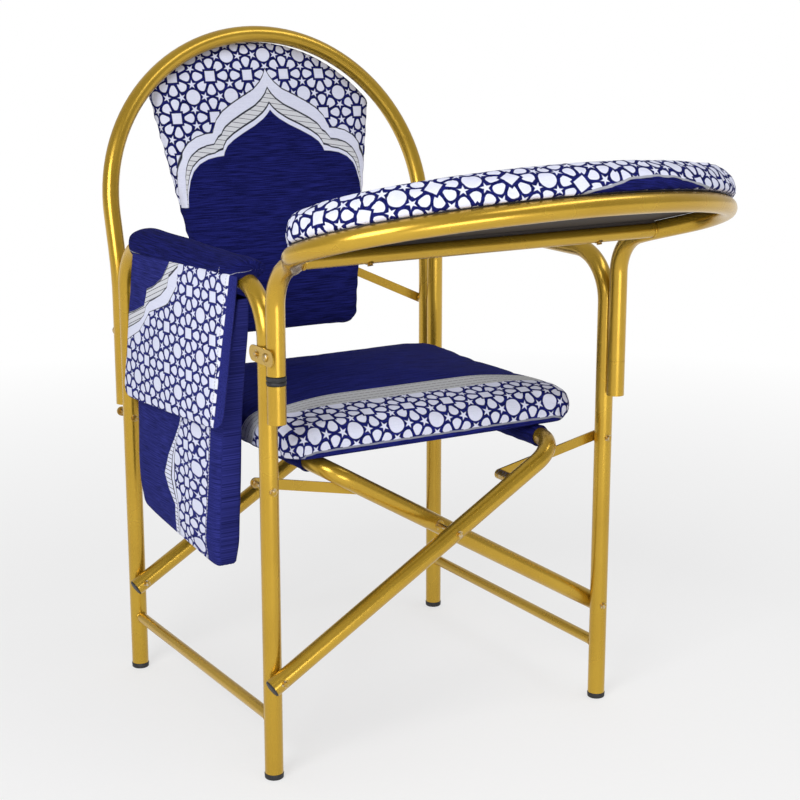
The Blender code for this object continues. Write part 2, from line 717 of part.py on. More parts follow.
right_half = ring_half()
left_half = [(-across, reach) for across, reach in right_half[:-1]]
corner_left = table_point(-LEG_X, 0.0)
corner_right = table_point(LEG_X, 0.0)
foot_left = Vector((-LEG_X, POST_Y, POST_FOOT))
foot_right = Vector((LEG_X, POST_Y, RIGHT_SOCKET_TOP + CLEARANCE))
bend_left = fillet(foot_left, corner_left, table_point(*left_half[0]), POST_BEND)
bend_right = fillet(table_point(*right_half[0]), corner_right, foot_right, POST_BEND)
ring_path = [foot_left, *bend_left]
ring_path.extend(table_point(*place) for place in left_half[1:])
ring_path.extend(table_point(*place) for place in reversed(right_half[1:]))
ring_path.extend(bend_right)
ring_path.append(foot_right)
tube("table_ring_tube", ring_path, TUBE_DIAMETER, table, GOLD, TUBE_WALL)

bar_x = ring_side(BAR_REACH)
bar = tube(
    "table_rear_bar",
    [table_point(-bar_x, BAR_REACH), table_point(bar_x, BAR_REACH)],
    BAR_DIAMETER,
    table,
    GOLD,
)
ring_room = tube_mesh("ring_room", ring_path, TUBE_DIAMETER + 2 * CLEARANCE, True)
cut(bar, add_cutter("ring_room", ring_room, table, Matrix.Identity(4)))

pin_foot = LEFT_SOCKET_TOP - PIN_DEPTH
pin_profile = [
    (0.0, POST_FOOT + PIN_PLUG_LENGTH),
    (PLUG_RADIUS, POST_FOOT + PIN_PLUG_LENGTH),
    (PLUG_RADIUS, POST_FOOT),
    (PIN_DIAMETER / 2, POST_FOOT),
    (PIN_DIAMETER / 2, pin_foot),
    (0.0, pin_foot),
]
turned("table_pivot_pin", pin_profile, table, STEEL, post_frame)

board_base = TUBE_RADIUS + CLEARANCE
pad_half = ring_half(TUBE_RADIUS, TABLE_REAR)
pad_outline = [(across, -reach) for across, reach in pad_half]
pad_outline.extend((-across, -reach) for across, reach in reversed(pad_half[:-1]))
pad_outline.reverse()
board_half = ring_half(0.0, TABLE_REAR + TUBE_RADIUS)
board_outline = [(across, -reach) for across, reach in board_half]
board_outline.extend((-across, -reach) for across, reach in reversed(board_half[:-1]))
tilt_turn = Matrix.Rotation(-TILT, 4, "X")
board_frame = Matrix.Translation(table_point(0.0, 0.0, board_base + BOARD_THICKNESS / 2)) @ tilt_turn
board = plate("table_board", board_outline, [], BOARD_THICKNESS, table, BOARD, board_frame)
pad_frame = Matrix.Translation(table_point(0.0, 0.0, board_base)) @ tilt_turn
pad_centre = (0.0, -(TABLE_REAR + RING_SIDE + RING_FRONT) / 2)
table_rings = padded_rings(TABLE_RIM, TABLE_CROWN, 0.009)
table_pad = cushion("table_pad", pad_outline, pad_centre, table_rings, table, LATTICE, pad_frame)
room_half = ring_half(CLEARANCE, TABLE_REAR + TUBE_RADIUS - CLEARANCE)
room_outline = [(across, -reach) for across, reach in room_half]
room_outline.extend((-across, -reach) for across, reach in reversed(room_half[:-1]))
room_depth = BOARD_THICKNESS + 2 * CLEARANCE
cut(table_pad, as_cutter(plate("board_room", room_outline, [], room_depth, table, BOARD, board_frame)))

screw_low = -BAR_DIAMETER / 2 - CLEARANCE
screw_high = board_base + BOARD_THICKNESS / 2
for side, sign in (("left", -1), ("right", 1)):
    across = sign * TABLE_SCREW_SPACING / 2
    under = table_point(across, BAR_REACH, screw_low - SCREW_HEAD_HEIGHT)
    into = table_point(across, BAR_REACH, screw_high + CLEARANCE)
    bore(bar, under, into, SCREW_DIAMETER + 2 * CLEARANCE)
    bore(board, under, into, SCREW_DIAMETER + 2 * CLEARANCE)
    screw_profile = [
        (0.0, screw_high),
        (SCREW_DIAMETER / 2, screw_high),
        (SCREW_DIAMETER / 2, screw_low),
        (SCREW_HEAD / 2, screw_low),
        (0.3 * SCREW_HEAD, screw_low - SCREW_HEAD_HEIGHT),
        (0.0, screw_low - SCREW_HEAD_HEIGHT),
    ]
    frame = Matrix.Translation(table_point(across, BAR_REACH)) @ tilt_turn
    turned(f"table_{side}_screw", screw_profile, table, STEEL, frame)


# Back: an arch whose legs stand behind the rear legs; the left leg slides over two headed pins.
def arch_point(across, up):
    """World point in the arch's leaning plane, measured up from the kink."""
    return Vector((across, ARCH_Y + up * math.sin(LEAN), ARCH_KINK + up * math.cos(LEAN)))


crown = []
for step in range(17):
    angle = math.pi * step / 16
    crown.append(arch_point(-LEG_X * math.cos(angle), ARCH_SIDE + ARCH_RISE * math.sin(angle)))
arch_left = Vector((-LEG_X, ARCH_Y, ARCH_FOOT))
arch_right = Vector((LEG_X, ARCH_Y, ARCH_FOOT))
arch_path = [arch_left]
arch_path.extend(fillet(arch_left, arch_point(-LEG_X, 0.0), crown[0], ARCH_KINK_BEND))
arch_path.extend(crown)
arch_path.extend(fillet(crown[-1], arch_point(LEG_X, 0.0), arch_right, ARCH_KINK_BEND))
arch_path.append(arch_right)
arch = tube("back_arch_tube", arch_path, TUBE_DIAMETER, back, GOLD, TUBE_WALL)

slot_top = max(PIN_HEIGHTS) + HOLE_DIAMETER / 2
slot_foot = ARCH_FOOT - TUBE_RADIUS
slot_depth = TUBE_RADIUS
shape = bmesh.new()
bmesh.ops.create_cube(shape, size=1.0)
bmesh.ops.scale(shape, verts=shape.verts, vec=(HOLE_DIAMETER, slot_depth, slot_top - slot_foot))
slot_mesh = bpy.data.meshes.new("arch_slot")
shape.to_mesh(slot_mesh)
shape.free()
slot_frame = Matrix.Translation((-LEG_X, ARCH_Y - TUBE_RADIUS, (slot_top + slot_foot) / 2))
cut(arch, add_cutter("arch_slot", slot_mesh, back, slot_frame))
head_front = ARCH_Y - PIN_HEAD / 2
for place, height in zip(("lower", "upper"), PIN_HEIGHTS):
    inside = LEG_Y + TUBE_RADIUS - 3 * TUBE_WALL
    bore(side_tubes["left"], (-LEG_X, inside, height), (-LEG_X, ARCH_Y, height), HOLE_DIAMETER)
    pin_profile = [
        (0.0, head_front + PIN_HEAD_THICKNESS),
        (PIN_HEAD / 2, head_front + PIN_HEAD_THICKNESS),
        (PIN_HEAD / 2, head_front),
        (RIVET_SHANK / 2, head_front),
        (RIVET_SHANK / 2, inside + CLEARANCE),
        (0.0, inside + CLEARANCE),
    ]
    turned(f"back_pin_{place}", pin_profile, left_frame, STEEL, facing((0, 1, 0), -LEG_X, 0.0, height))

back_tip = math.radians(BACK_LEAN)
pad_width = LEG_X - TUBE_RADIUS - CLEARANCE
pad_rise = ARCH_RISE - TUBE_RADIUS - CLEARANCE
pad_centre_height = (ARCH_KINK + ARCH_SIDE * math.cos(LEAN) - BACK_FOOT) / math.cos(back_tip)
arc_half = pad_width * math.cos(math.radians(BACK_ARC_START))
arc_start = math.acos((arc_half + BACK_OFFSET) / pad_width)
arc_end = math.pi - math.acos((arc_half - BACK_OFFSET) / pad_width)
arc = []
for step in range(17):
    angle = arc_start + (arc_end - arc_start) * step / 16
    arc.append(Vector((pad_width * math.cos(angle), pad_centre_height + pad_rise * math.sin(angle), 0.0)))
right_corner = Vector((BACK_OFFSET + BACK_BOTTOM_WIDTH / 2, 0.0, 0.0))
left_corner = Vector((BACK_OFFSET - BACK_BOTTOM_WIDTH / 2, 0.0, 0.0))
outline = fillet(left_corner, right_corner, arc[0], BACK_CORNER)
outline.extend(arc)
outline.extend(fillet(arc[-1], left_corner, right_corner, BACK_CORNER))
back_outline = [(point.x, point.y) for point in outline]
back_turn = Matrix.Rotation(math.pi / 2 - back_tip, 4, "X")
back_frame = Matrix.Translation((0.0, BACK_FRONT, BACK_FOOT)) @ back_turn
back_frame = back_frame @ Matrix.Translation((0.0, 0.0, -BACK_THICKNESS))
back_centre = (BACK_OFFSET, pad_centre_height)
back_rings = padded_rings(0.75 * BACK_THICKNESS, 0.25 * BACK_THICKNESS, 0.006)
cushion("back_pad", back_outline, back_centre, back_rings, back, LATTICE, back_frame)

# Stays: flat bars from the arch's legs up to the back of the pad.
stay_front = ARCH_Y + TUBE_RADIUS + STAY_STANDOFF
stay_top = STAY_HEIGHT + STAY_RISE
pad_rear = BACK_FRONT + (stay_top - BACK_FOOT) * math.tan(back_tip) + BACK_THICKNESS / math.cos(back_tip)
for side, sign in (("left", -1), ("right", 1)):
    outer = Vector((sign * LEG_X, stay_front + STAY_THICKNESS / 2, STAY_HEIGHT))
    inner = Vector((BACK_OFFSET + sign * STAY_INNER, pad_rear + STAY_EASE + STAY_THICKNESS / 2, stay_top))
    run = inner - outer
    half_length = run.length / 2
    outline = rounded_outline(
        [
            (-half_length - STAY_WIDTH / 2, -STAY_WIDTH / 2),
            (half_length, -STAY_WIDTH / 2),
            (half_length, STAY_WIDTH / 2),
            (-half_length - STAY_WIDTH / 2, STAY_WIDTH / 2),
        ],
        0.49 * STAY_WIDTH,
    )
    along_stay = run.normalized()
    normal = along_stay.cross(Vector((0.0, 0.0, 1.0))).normalized()
    across_stay = normal.cross(along_stay)
    turn = Matrix((along_stay, across_stay, normal)).transposed().to_4x4()
    frame = Matrix.Translation((outer + inner) / 2) @ turn
    holes = [circle((-half_length, 0.0), HOLE_DIAMETER + 2 * CLEARANCE)]
    plate(f"{side}_back_stay", outline, holes, STAY_THICKNESS, back, GOLD, frame)

    tube_rear = ARCH_Y + TUBE_RADIUS
    shank_end = tube_rear - 2 * TUBE_WALL
    bore(arch, (outer.x, shank_end, STAY_HEIGHT), (outer.x, stay_front, STAY_HEIGHT), HOLE_DIAMETER)
    tilt = run.y / Vector((run.x, run.z)).length
    spacer = (tube_rear + CLEARANCE, stay_front - CLEARANCE - tilt * COLLAR_DIAMETER / 2)
    stay_rear = stay_front + STAY_THICKNESS + CLEARANCE + tilt * RIVET_HEAD / 2
    frame = facing((0, 1, 0), outer.x, 0.0, STAY_HEIGHT)
    rivet(
        f"{side}_stay_rivet", frame, back, shank_end + CLEARANCE, stay_rear, low_head=False, collar=spacer
    )

# Right arm rest: a crowned pad on the arm, held from below by a screw.
outline = rounded_outline(
    [
        (-ARM_PAD_WIDTH / 2, -ARM_PAD_LENGTH / 2),
        (ARM_PAD_WIDTH / 2, -ARM_PAD_LENGTH / 2),
        (ARM_PAD_WIDTH / 2, ARM_PAD_LENGTH / 2),
        (-ARM_PAD_WIDTH / 2, ARM_PAD_LENGTH / 2),
    ],
    0.45 * ARM_PAD_WIDTH,
)
pad_foot = ARM_HEIGHT + TUBE_RADIUS + CLEARANCE
frame = Matrix.Translation((LEG_X, 0.0, pad_foot))
arm_rings = padded_rings(ARM_PAD_RIM, ARM_PAD_CROWN, 0.004)
arm_pad = cushion("right_arm_pad", outline, (0.0, 0.0), arm_rings, right_frame, NAVY, frame)
screw_low = ARM_HEIGHT - TUBE_RADIUS - CLEARANCE
screw_high = pad_foot + ARM_PAD_RIM / 2
low = (LEG_X, 0.0, screw_low - SCREW_HEAD_HEIGHT)
high = (LEG_X, 0.0, screw_high + CLEARANCE)
bore(side_tubes["right"], low, high, SCREW_DIAMETER + 2 * CLEARANCE)
bore(arm_pad, low, high, SCREW_DIAMETER + 2 * CLEARANCE)
screw_profile = [
    (0.0, screw_high),
    (SCREW_DIAMETER / 2, screw_high),
    (SCREW_DIAMETER / 2, screw_low),
    (SCREW_HEAD / 2, screw_low),
    (0.3 * SCREW_HEAD, screw_low - SCREW_HEAD_HEIGHT),
    (0.0, screw_low - SCREW_HEAD_HEIGHT),
]
turned("arm_pad_screw", screw_profile, right_frame, STEEL, facing((0, 0, 1), LEG_X))

# Left arm: a padded roll round the tube, and under it an open bag with a flap on its outer face.
cover_inner = COVER_RADIUS
cover_profile = [
    (COVER_DIAMETER / 2 - 0.006, COVER_REAR),
    (COVER_DIAMETER / 2, COVER_REAR - 0.008),
    (COVER_DIAMETER / 2, COVER_FRONT + 0.008),
    (COVER_DIAMETER / 2 - 0.006, COVER_FRONT),
    (cover_inner, COVER_FRONT),
    (cover_inner, COVER_REAR),
]
cover_frame = facing((0, 1, 0), -LEG_X, 0.0, ARM_HEIGHT)
turned("left_arm_cover", cover_profile, left_frame, NAVY, cover_frame, True)

inner_wall = BAG_INNER_OFFSET - BAG_WALL
bag_top = ARM_HEIGHT - COVER_DIAMETER / 2 + inner_wall * math.tan(math.pi / TUBE_SIDES) - CLEARANCE
bag_x = -LEG_X + BAG_INNER_OFFSET - BAG_DEPTH / 2
side_turn = Matrix.Rotation(math.pi / 2, 4, "Z") @ Matrix.Rotation(math.pi / 2, 4, "X")
rear_top = Vector((BAG_REAR, bag_top, 0.0))
front_top = Vector((BAG_TOP_FRONT, bag_top, 0.0))
front_foot = Vector((BAG_BOTTOM_FRONT, BAG_BOTTOM, 0.0))
rear_foot = Vector((BAG_REAR, BAG_BOTTOM, 0.0))
outline = [rear_top]
outline.extend(fillet(rear_top, front_top, front_foot, BAG_SHOULDER))
outline.extend(fillet(front_top, front_foot, rear_foot, BAG_CORNER))
outline.extend(fillet(front_foot, rear_foot, rear_top, BAG_CORNER))
outline = [(point.x, point.y) for point in outline]
frame = Matrix.Translation((bag_x, 0.0, 0.0)) @ side_turn
bag = plate("side_bag", outline, [], BAG_DEPTH, left_frame, NAVY, frame)
above = bag_top + BAG_WALL
mouth_front = min(BAG_TOP_FRONT + BAG_SHOULDER, COVER_FRONT - CLEARANCE)
shoulder = Vector((BAG_TOP_FRONT + 2 * BAG_WALL, bag_top - BAG_SHOULDER, 0.0))
front_foot = Vector((BAG_BOTTOM_FRONT + 2 * BAG_WALL, BAG_BOTTOM + BAG_WALL, 0.0))
rear_foot = Vector((BAG_REAR - BAG_WALL, BAG_BOTTOM + BAG_WALL, 0.0))
rear_top = Vector((BAG_REAR - BAG_WALL, above, 0.0))
inner = [rear_top, Vector((mouth_front, above, 0.0)), Vector((mouth_front, bag_top - BAG_WALL, 0.0)), shoulder]
inner.extend(fillet(shoulder, front_foot, rear_foot, BAG_CORNER - BAG_WALL))
inner.extend(fillet(front_foot, rear_foot, rear_top, BAG_CORNER - BAG_WALL))
inner = [(point.x, point.y) for point in inner]
hollow = plate("bag_hollow", inner, [], BAG_DEPTH - 2 * BAG_WALL, left_frame, NAVY, frame)
cut(bag, as_cutter(hollow))

flap_x = bag_x - BAG_DEPTH / 2 - CLEARANCE - FLAP_DEPTH / 2
outline = rounded_outline(
    [
        (FLAP_FRONT, FLAP_TOP),
        (FLAP_FRONT, FLAP_FRONT_HEM),
        (FLAP_REAR, FLAP_REAR_HEM),
        (FLAP_REAR, FLAP_TOP),
    ],
    FLAP_CORNER,
)
plate("bag_flap", outline, [], FLAP_DEPTH, left_frame, LATTICE, Matrix.Translation((flap_x, 0.0, 0.0)) @ side_turn)

# The chair's own frame: the floor is Z zero and the middle of its outline is X and Y zero.
bpy.context.view_layer.update()
graph = bpy.context.evaluated_depsgraph_get()
spots = []
for part in chair.objects:
    if part.type == "MESH":
        solid = part.evaluated_get(graph)
        spots.extend(solid.matrix_world @ vert.co for vert in solid.data.vertices)
middle_x = (min(spot.x for spot in spots) + max(spot.x for spot in spots)) / 2
middle_y = (min(spot.y for spot in spots) + max(spot.y for spot in spots)) / 2
root.location = (-middle_x, -middle_y, 0.0)
bpy.context.view_layer.update()
print(f"chair frame moved by {-middle_x:.6f}, {-middle_y:.6f}")
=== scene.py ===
"""Folding prayer chair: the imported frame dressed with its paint, padding, woven cloth and side bag."""
import json
import math

import bmesh
import bpy
import numpy as np
from mathutils import Matrix, Quaternion, Vector, noise


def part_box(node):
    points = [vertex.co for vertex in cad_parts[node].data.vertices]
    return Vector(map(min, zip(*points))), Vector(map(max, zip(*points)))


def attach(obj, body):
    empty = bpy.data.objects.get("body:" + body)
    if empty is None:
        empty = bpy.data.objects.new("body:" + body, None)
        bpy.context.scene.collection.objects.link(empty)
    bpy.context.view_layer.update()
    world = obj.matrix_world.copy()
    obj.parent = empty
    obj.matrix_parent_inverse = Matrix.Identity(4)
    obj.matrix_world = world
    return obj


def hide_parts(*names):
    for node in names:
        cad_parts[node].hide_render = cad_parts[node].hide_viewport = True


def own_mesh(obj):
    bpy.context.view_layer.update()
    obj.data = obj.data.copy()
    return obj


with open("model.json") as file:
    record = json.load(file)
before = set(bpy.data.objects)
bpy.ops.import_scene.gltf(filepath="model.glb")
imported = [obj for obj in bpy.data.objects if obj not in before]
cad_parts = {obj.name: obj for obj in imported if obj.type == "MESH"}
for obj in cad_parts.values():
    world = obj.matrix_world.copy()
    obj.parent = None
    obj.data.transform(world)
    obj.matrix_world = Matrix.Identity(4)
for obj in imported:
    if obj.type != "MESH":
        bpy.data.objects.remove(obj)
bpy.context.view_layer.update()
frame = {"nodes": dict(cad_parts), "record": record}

# Studio: a long lens at standing height, white paper underfoot and three wide soft lamps.
# The paper looks white to the camera and in reflections and keeps the chair's shadow; the room behind the
# camera is greyer, so the round of a painted tube shows.
scene = bpy.context.scene
scene.view_settings.view_transform = "Standard"


def set_up(thing, **settings):
    """Give a thing several settings at once."""
    for name, value in settings.items():
        setattr(thing, name, value)
    return thing


def set_out(name, data):
    """A new object that stands in the scene."""
    made = bpy.data.objects.new(name, data)
    scene.collection.objects.link(made)
    return made


def turned_to(sight):
    """How a camera or lamp is turned to look along a line."""
    return sight.to_track_quat("-Z", "Y").to_euler()


lens = set_up(bpy.data.cameras.new("studio_camera"), lens=79.2, sensor_width=36.0)
camera = set_out("studio_camera", lens)
camera.location = (-1.2400, -2.0782, 1.038)
sight = Vector((0.0650, 0.1028, 0.431)) - camera.location
camera.rotation_euler = turned_to(sight)
scene.camera = camera


def sum_of(operation):
    """A method that works out one sum, with another value where it takes one."""
    return lambda shade, other=0.0: shade.maths(operation, shade, other)


class Shade:
    """A value or colour that changes over a surface. Arithmetic on it adds the nodes that work it out."""

    def __init__(self, tree, socket=None):
        self.tree = tree
        self.socket = socket

    def node(self, kind, settings=None, inputs=None, output=0):
        """Add any node: its settings first, then its sockets, filled with values or linked to shades."""
        made = self.tree.nodes.new(kind)
        for name, value in (settings or {}).items():
            if name == "curve":
                line = made.mapping.curves[0]
                while len(line.points) < len(value):
                    line.points.new(0.5, 0.5)
                for point, place in zip(line.points, value):
                    point.location = place
                    point.handle_type = "VECTOR"
                made.mapping.update()
            else:
                setattr(made, name, value)
        for key, value in (inputs or {}).items():
            if isinstance(value, Shade):
                self.tree.links.new(value.socket, made.inputs[key])
            else:
                made.inputs[key].default_value = value
        return Shade(self.tree, made.outputs[output])

    def maths(self, operation, first, second=0.0):
        return self.node("ShaderNodeMath", {"operation": operation}, {0: first, 1: second})

    def __rsub__(self, other):
        return self.maths("SUBTRACT", other, self)

    __add__ = __radd__ = sum_of("ADD")
    __mul__ = __rmul__ = sum_of("MULTIPLY")
    __sub__, __truediv__ = sum_of("SUBTRACT"), sum_of("DIVIDE")
    __mod__, __abs__ = sum_of("FLOORED_MODULO"), sum_of("ABSOLUTE")
    least, most = sum_of("MINIMUM"), sum_of("MAXIMUM")

    def over(self, edge, soft):
        """1 where this is past an edge, 0 short of it, with a soft change between."""
        limits = {"Value": self, "From Min": edge - soft, "From Max": edge + soft}
        return self.node("ShaderNodeMapRange", {"clamp": True}, limits)

    def blend(self, low, high):
        """A colour from low, where this is 0, to high, where it is 1."""
        settings = {"data_type": "RGBA", "clamp_factor": True}
        return self.node("ShaderNodeMix", settings, {0: self, 6: low, 7: high}, 2)

    def vector(self, x, y, z=0.0):
        return self.node("ShaderNodeCombineXYZ", None, {0: x, 1: y, 2: z})

    def parts(self):
        split = self.node("ShaderNodeSeparateXYZ", None, {0: self}).socket.node
        return [Shade(self.tree, socket) for socket in split.outputs]

    def grain(self, scale, detail=2.0):
        """Cloudy noise at this place, about 0.5."""
        return self.node("ShaderNodeTexNoise", None, {"Vector": self, "Scale": scale, "Detail": detail})


def start_material(name, kind="ShaderNodeTexCoord", settings=None, output="Object"):
    """A new material, its shader, and the place on the surface that its sums begin from."""
    made = bpy.data.materials.new(name)
    made.use_nodes = True
    place = Shade(made.node_tree).node(kind, settings, output=output)
    return made, made.node_tree.nodes["Principled BSDF"], place


def wire(shader, colour, roughness, height=None, depth=0.001, strength=0.5):
    """Join a worked-out colour, roughness and surface height to a shader."""
    links = colour.tree.links
    links.new(colour.socket, shader.inputs["Base Color"])
    links.new(roughness.socket, shader.inputs["Roughness"])
    if height is not None:
        relief = {"Height": height, "Distance": depth, "Strength": strength}
        links.new(colour.node("ShaderNodeBump", None, relief).socket, shader.inputs["Normal"])


paper, shader, place = start_material("floor_paper")
fibre = place.grain(140.0, 3.0)
wire(shader, fibre.over(0.5, 0.5).blend((0.84, 0.84, 0.84, 1), (0.88, 0.88, 0.88, 1)), 0.85 + 0.1 * fibre)
seen = place.node("ShaderNodeLightPath", output="Is Camera Ray")
for ray in ("Is Glossy Ray", "Is Transmission Ray"):
    seen = seen.most(place.node("ShaderNodeLightPath", output=ray))
far_off = place.node("ShaderNodeVectorMath", {"operation": "LENGTH"}, {0: place}, 1).over(1.7, 0.9)
glow = place.node("ShaderNodeEmission", None, {"Color": (1.0, 1.0, 1.0, 1.0)})
shaded = Shade(paper.node_tree, shader.outputs[0])
near_glow, far_glow = 0.62, 1.0
glow_share = seen * (near_glow + (far_glow - near_glow) * far_off)
mixed = place.node("ShaderNodeMixShader", None, {0: glow_share, 1: shaded, 2: glow})
paper.node_tree.links.new(mixed.socket, paper.node_tree.nodes["Material Output"].inputs["Surface"])
paper_mesh = bpy.data.meshes.new("floor_paper")
paper_edge, paper_drop = 400.0, 0.0004
paper_signs = ((-1, -1), (1, -1), (1, 1), (-1, 1))
paper_corners = [(x * paper_edge, y * paper_edge, -paper_drop) for x, y in paper_signs]
paper_mesh.from_pydata(paper_corners, [], [(0, 1, 2, 3)])
paper_mesh.materials.append(paper)
set_out("floor_paper", paper_mesh)

room = bpy.data.worlds.new("studio_room")
room.use_nodes = True
scene.world = room
direction = Shade(room.node_tree).node("ShaderNodeTexCoord", output="Generated")
ahead = Vector((sight.x, sight.y, 0.0)).normalized()
facing = direction.node("ShaderNodeVectorMath", {"operation": "DOT_PRODUCT"}, {0: direction, 1: ahead}, 1)
wall = facing.over(0.1, 0.55).blend((0.30, 0.30, 0.31, 1), (0.58, 0.58, 0.58, 1))
background = room.node_tree.nodes["Background"]
room.node_tree.links.new(wall.socket, background.inputs["Color"])
background.inputs["Strength"].default_value = 1.0
lamp_aim = Vector((0.0, 0.1, 0.45))
for name, spot, power, wide, tall in (
    ("key_lamp", (-2.5, -1.6, 1.9), 64.0, 1.5, 1.5),
    ("top_lamp", (0.9, -1.1, 2.6), 14.0, 2.2, 0.5),
    ("low_lamp", (-0.5, -2.4, 0.45), 13.0, 1.2, 0.6),
):
    lamp = bpy.data.lights.new(name, "AREA")
    set_up(lamp, energy=power, shape="RECTANGLE", size=wide, size_y=tall)
    set_up(set_out(name, lamp), location=spot, rotation_euler=turned_to(lamp_aim - Vector(spot)))

# Side frames: each is one length of 25 mm steel tube bent into two legs and an arm, with a thinner
# stretcher welded between the legs near the floor. All of it is sprayed in satin gold.
sides = (("left", -1), ("right", 1))
ends = (("front", -1), ("rear", 1))
sideways, across, up = Vector((1, 0, 0)), Vector((0, 1, 0)), Vector((0, 0, 1))
low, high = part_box("left_front_foot")[0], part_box("right_rear_foot")[1]
middle = Vector(((low.x + high.x) / 2, (low.y + high.y) / 2, 0.0))
tube_size = 0.025
leg_x, leg_y, leg_foot = 0.268, 0.229, 0.0043
arm_height, arm_bend = 0.665, 0.070
stretcher_size, stretcher_height = 0.016, 0.084
stretcher_end, stretcher_weld = leg_y - 0.4 * tube_size, leg_y - 0.49 * tube_size


def at(x, y, z):
    """A place measured from the middle of the four feet."""
    return middle + Vector((x, y, z))


def gold_paint(name, tone=1.0):
    """Satin gold spray: fine metal flake, a little orange peel, duller patches."""
    made, shader, place = start_material(name)
    flake = place.grain(1600.0, 1.0)
    peel = place.grain(420.0, 2.0)
    cloud = place.grain(9.0, 3.0)
    deep = (0.46 * tone, 0.270 * tone, 0.016 * tone, 1)
    bright = (0.61 * tone, 0.382 * tone, 0.034 * tone, 1)
    colour = (0.35 * flake + 0.65 * cloud).over(0.5, 0.25).blend(deep, bright)
    wire(shader, colour, 0.21 + 0.12 * cloud, peel, depth=0.0003, strength=0.05)
    shader.inputs["Metallic"].default_value = 0.72
    shader.inputs["Coat Weight"].default_value = 0.30
    shader.inputs["Coat Roughness"].default_value = 0.25
    return made


gold = gold_paint("gold_spray")


def round_corner(before, corner, after, radius):
    """Points of the arc that rounds a corner of a path, about every four degrees."""
    back, on = (before - corner).normalized(), (after - corner).normalized()
    turn = math.pi - back.angle(on)
    centre = corner + (back + on).normalized() * (radius / math.cos(turn / 2))
    start = corner + back * (radius * math.tan(turn / 2)) - centre
    end = corner + on * (radius * math.tan(turn / 2)) - centre
    axis = start.cross(end).normalized()
    steps = max(2, math.ceil(math.degrees(turn) / 4))
    return [centre + Quaternion(axis, turn * step / steps) @ start for step in range(steps + 1)]


def round_path(corners, radius):
    """A path through corners with every inner corner rounded."""
    path = [corners[0]]
    for before, corner, after in zip(corners, corners[1:], corners[2:]):
        path.extend(round_corner(before, corner, after, radius))
    return path + [corners[-1]]


def add_piece(name, shape, surface, body, nodes=(), sharp=35.0):
    """Turn a mesh in progress into a piece that rides on a body and stands for its CAD nodes."""
    mesh = bpy.data.meshes.new(name)
    bmesh.ops.recalc_face_normals(shape, faces=shape.faces)
    shape.to_mesh(mesh)
    shape.free()
    mesh.shade_smooth()
    mesh.set_sharp_from_angle(angle=math.radians(sharp))
    mesh.materials.append(surface)
    piece = set_out(name, mesh)
    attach(piece, body)
    if nodes:
        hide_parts(*nodes)
    return piece


def circle(shape, centre, side, rise, radius, steps):
    """A ring of new points."""
    turns = [2 * math.pi * step / steps for step in range(steps)]
    return [shape.verts.new(centre + radius * (side * math.cos(t) + rise * math.sin(t))) for t in turns]


def join_rings(shape, rings):
    """Faces between each ring of points and the next; a ring of one point is a tip."""
    for first, second in zip(rings, rings[1:]):
        count = max(len(first), len(second))
        for here in range(count):
            after = (here + 1) % count
            if len(first) == 1:
                shape.faces.new((first[0], second[here], second[after]))
            elif len(second) == 1:
                shape.faces.new((second[0], first[here], first[after]))
            else:
                shape.faces.new((first[here], first[after], second[after], second[here]))


def bent_tube(name, path, size, body, node):
    """A gold tube along a path, with its wall showing at both open ends."""
    outer, inner, open_depth, steps = size / 2, size / 2 - 0.0015, 0.02, 28
    shape = bmesh.new()
    runs = [(b - a).normalized() for a, b in zip(path, path[1:])]
    ways = [runs[0]] + [(a + b).normalized() for a, b in zip(runs, runs[1:])] + [runs[-1]]
    side = ways[0].orthogonal().normalized()
    rings = []
    for index, (point, way) in enumerate(zip(path, ways)):
        if index:
            side = ways[index - 1].rotation_difference(way) @ side
        side = (side - way * side.dot(way)).normalized()
        spots = [(point, outer)]
        if index == 0:
            spots = [(point + way * open_depth, inner), (point, inner)] + spots
        elif index == len(path) - 1:
            spots += [(point, inner), (point - way * open_depth, inner)]
        rings += [circle(shape, spot, side, way.cross(side), radius, steps) for spot, radius in spots]
    join_rings(shape, rings)
    shape.faces.new(rings[0])
    shape.faces.new(rings[-1])
    add_piece(name, shape, gold, body, [node])


def weld_bead(name, point, way, radius, body):
    """The lumpy run of weld where one tube butts on another."""
    bead, lumpy, steps = 0.0011, 0.22, 36
    shape = bmesh.new()
    side = way.orthogonal().normalized()
    rise = way.cross(side)
    rings = []
    for step in range(steps):
        turn = 2 * math.pi * step / steps
        out = side * math.cos(turn) + rise * math.sin(turn)
        spot = point + out * radius
        rings.append(circle(shape, spot, out, way, bead * (1.0 + lumpy * noise.noise(300.0 * spot)), 8))
    join_rings(shape, rings + rings[:1])
    add_piece(name, shape, gold, body)


for side_name, sign in sides:
    x, body = sign * leg_x, f"{side_name}_frame"
    corners = [at(x, -leg_y, leg_foot), at(x, -leg_y, arm_height)]
    corners += [at(x, leg_y, arm_height), at(x, leg_y, leg_foot)]
    leg_path = round_path(corners, arm_bend)
    bent_tube(f"{side_name}_leg_and_arm", leg_path, tube_size, body, f"{side_name}_side_tube")
    stretcher_path = [at(x, way * stretcher_end, stretcher_height) for _, way in ends]
    bent_tube(f"{side_name}_floor_stretcher", stretcher_path, stretcher_size, body, f"{side_name}_stretcher")
    for row, way in ends:
        spot = at(x, way * stretcher_weld, stretcher_height)
        weld_bead(f"{side_name}_{row}_stretcher_weld", spot, across, stretcher_size / 2, body)

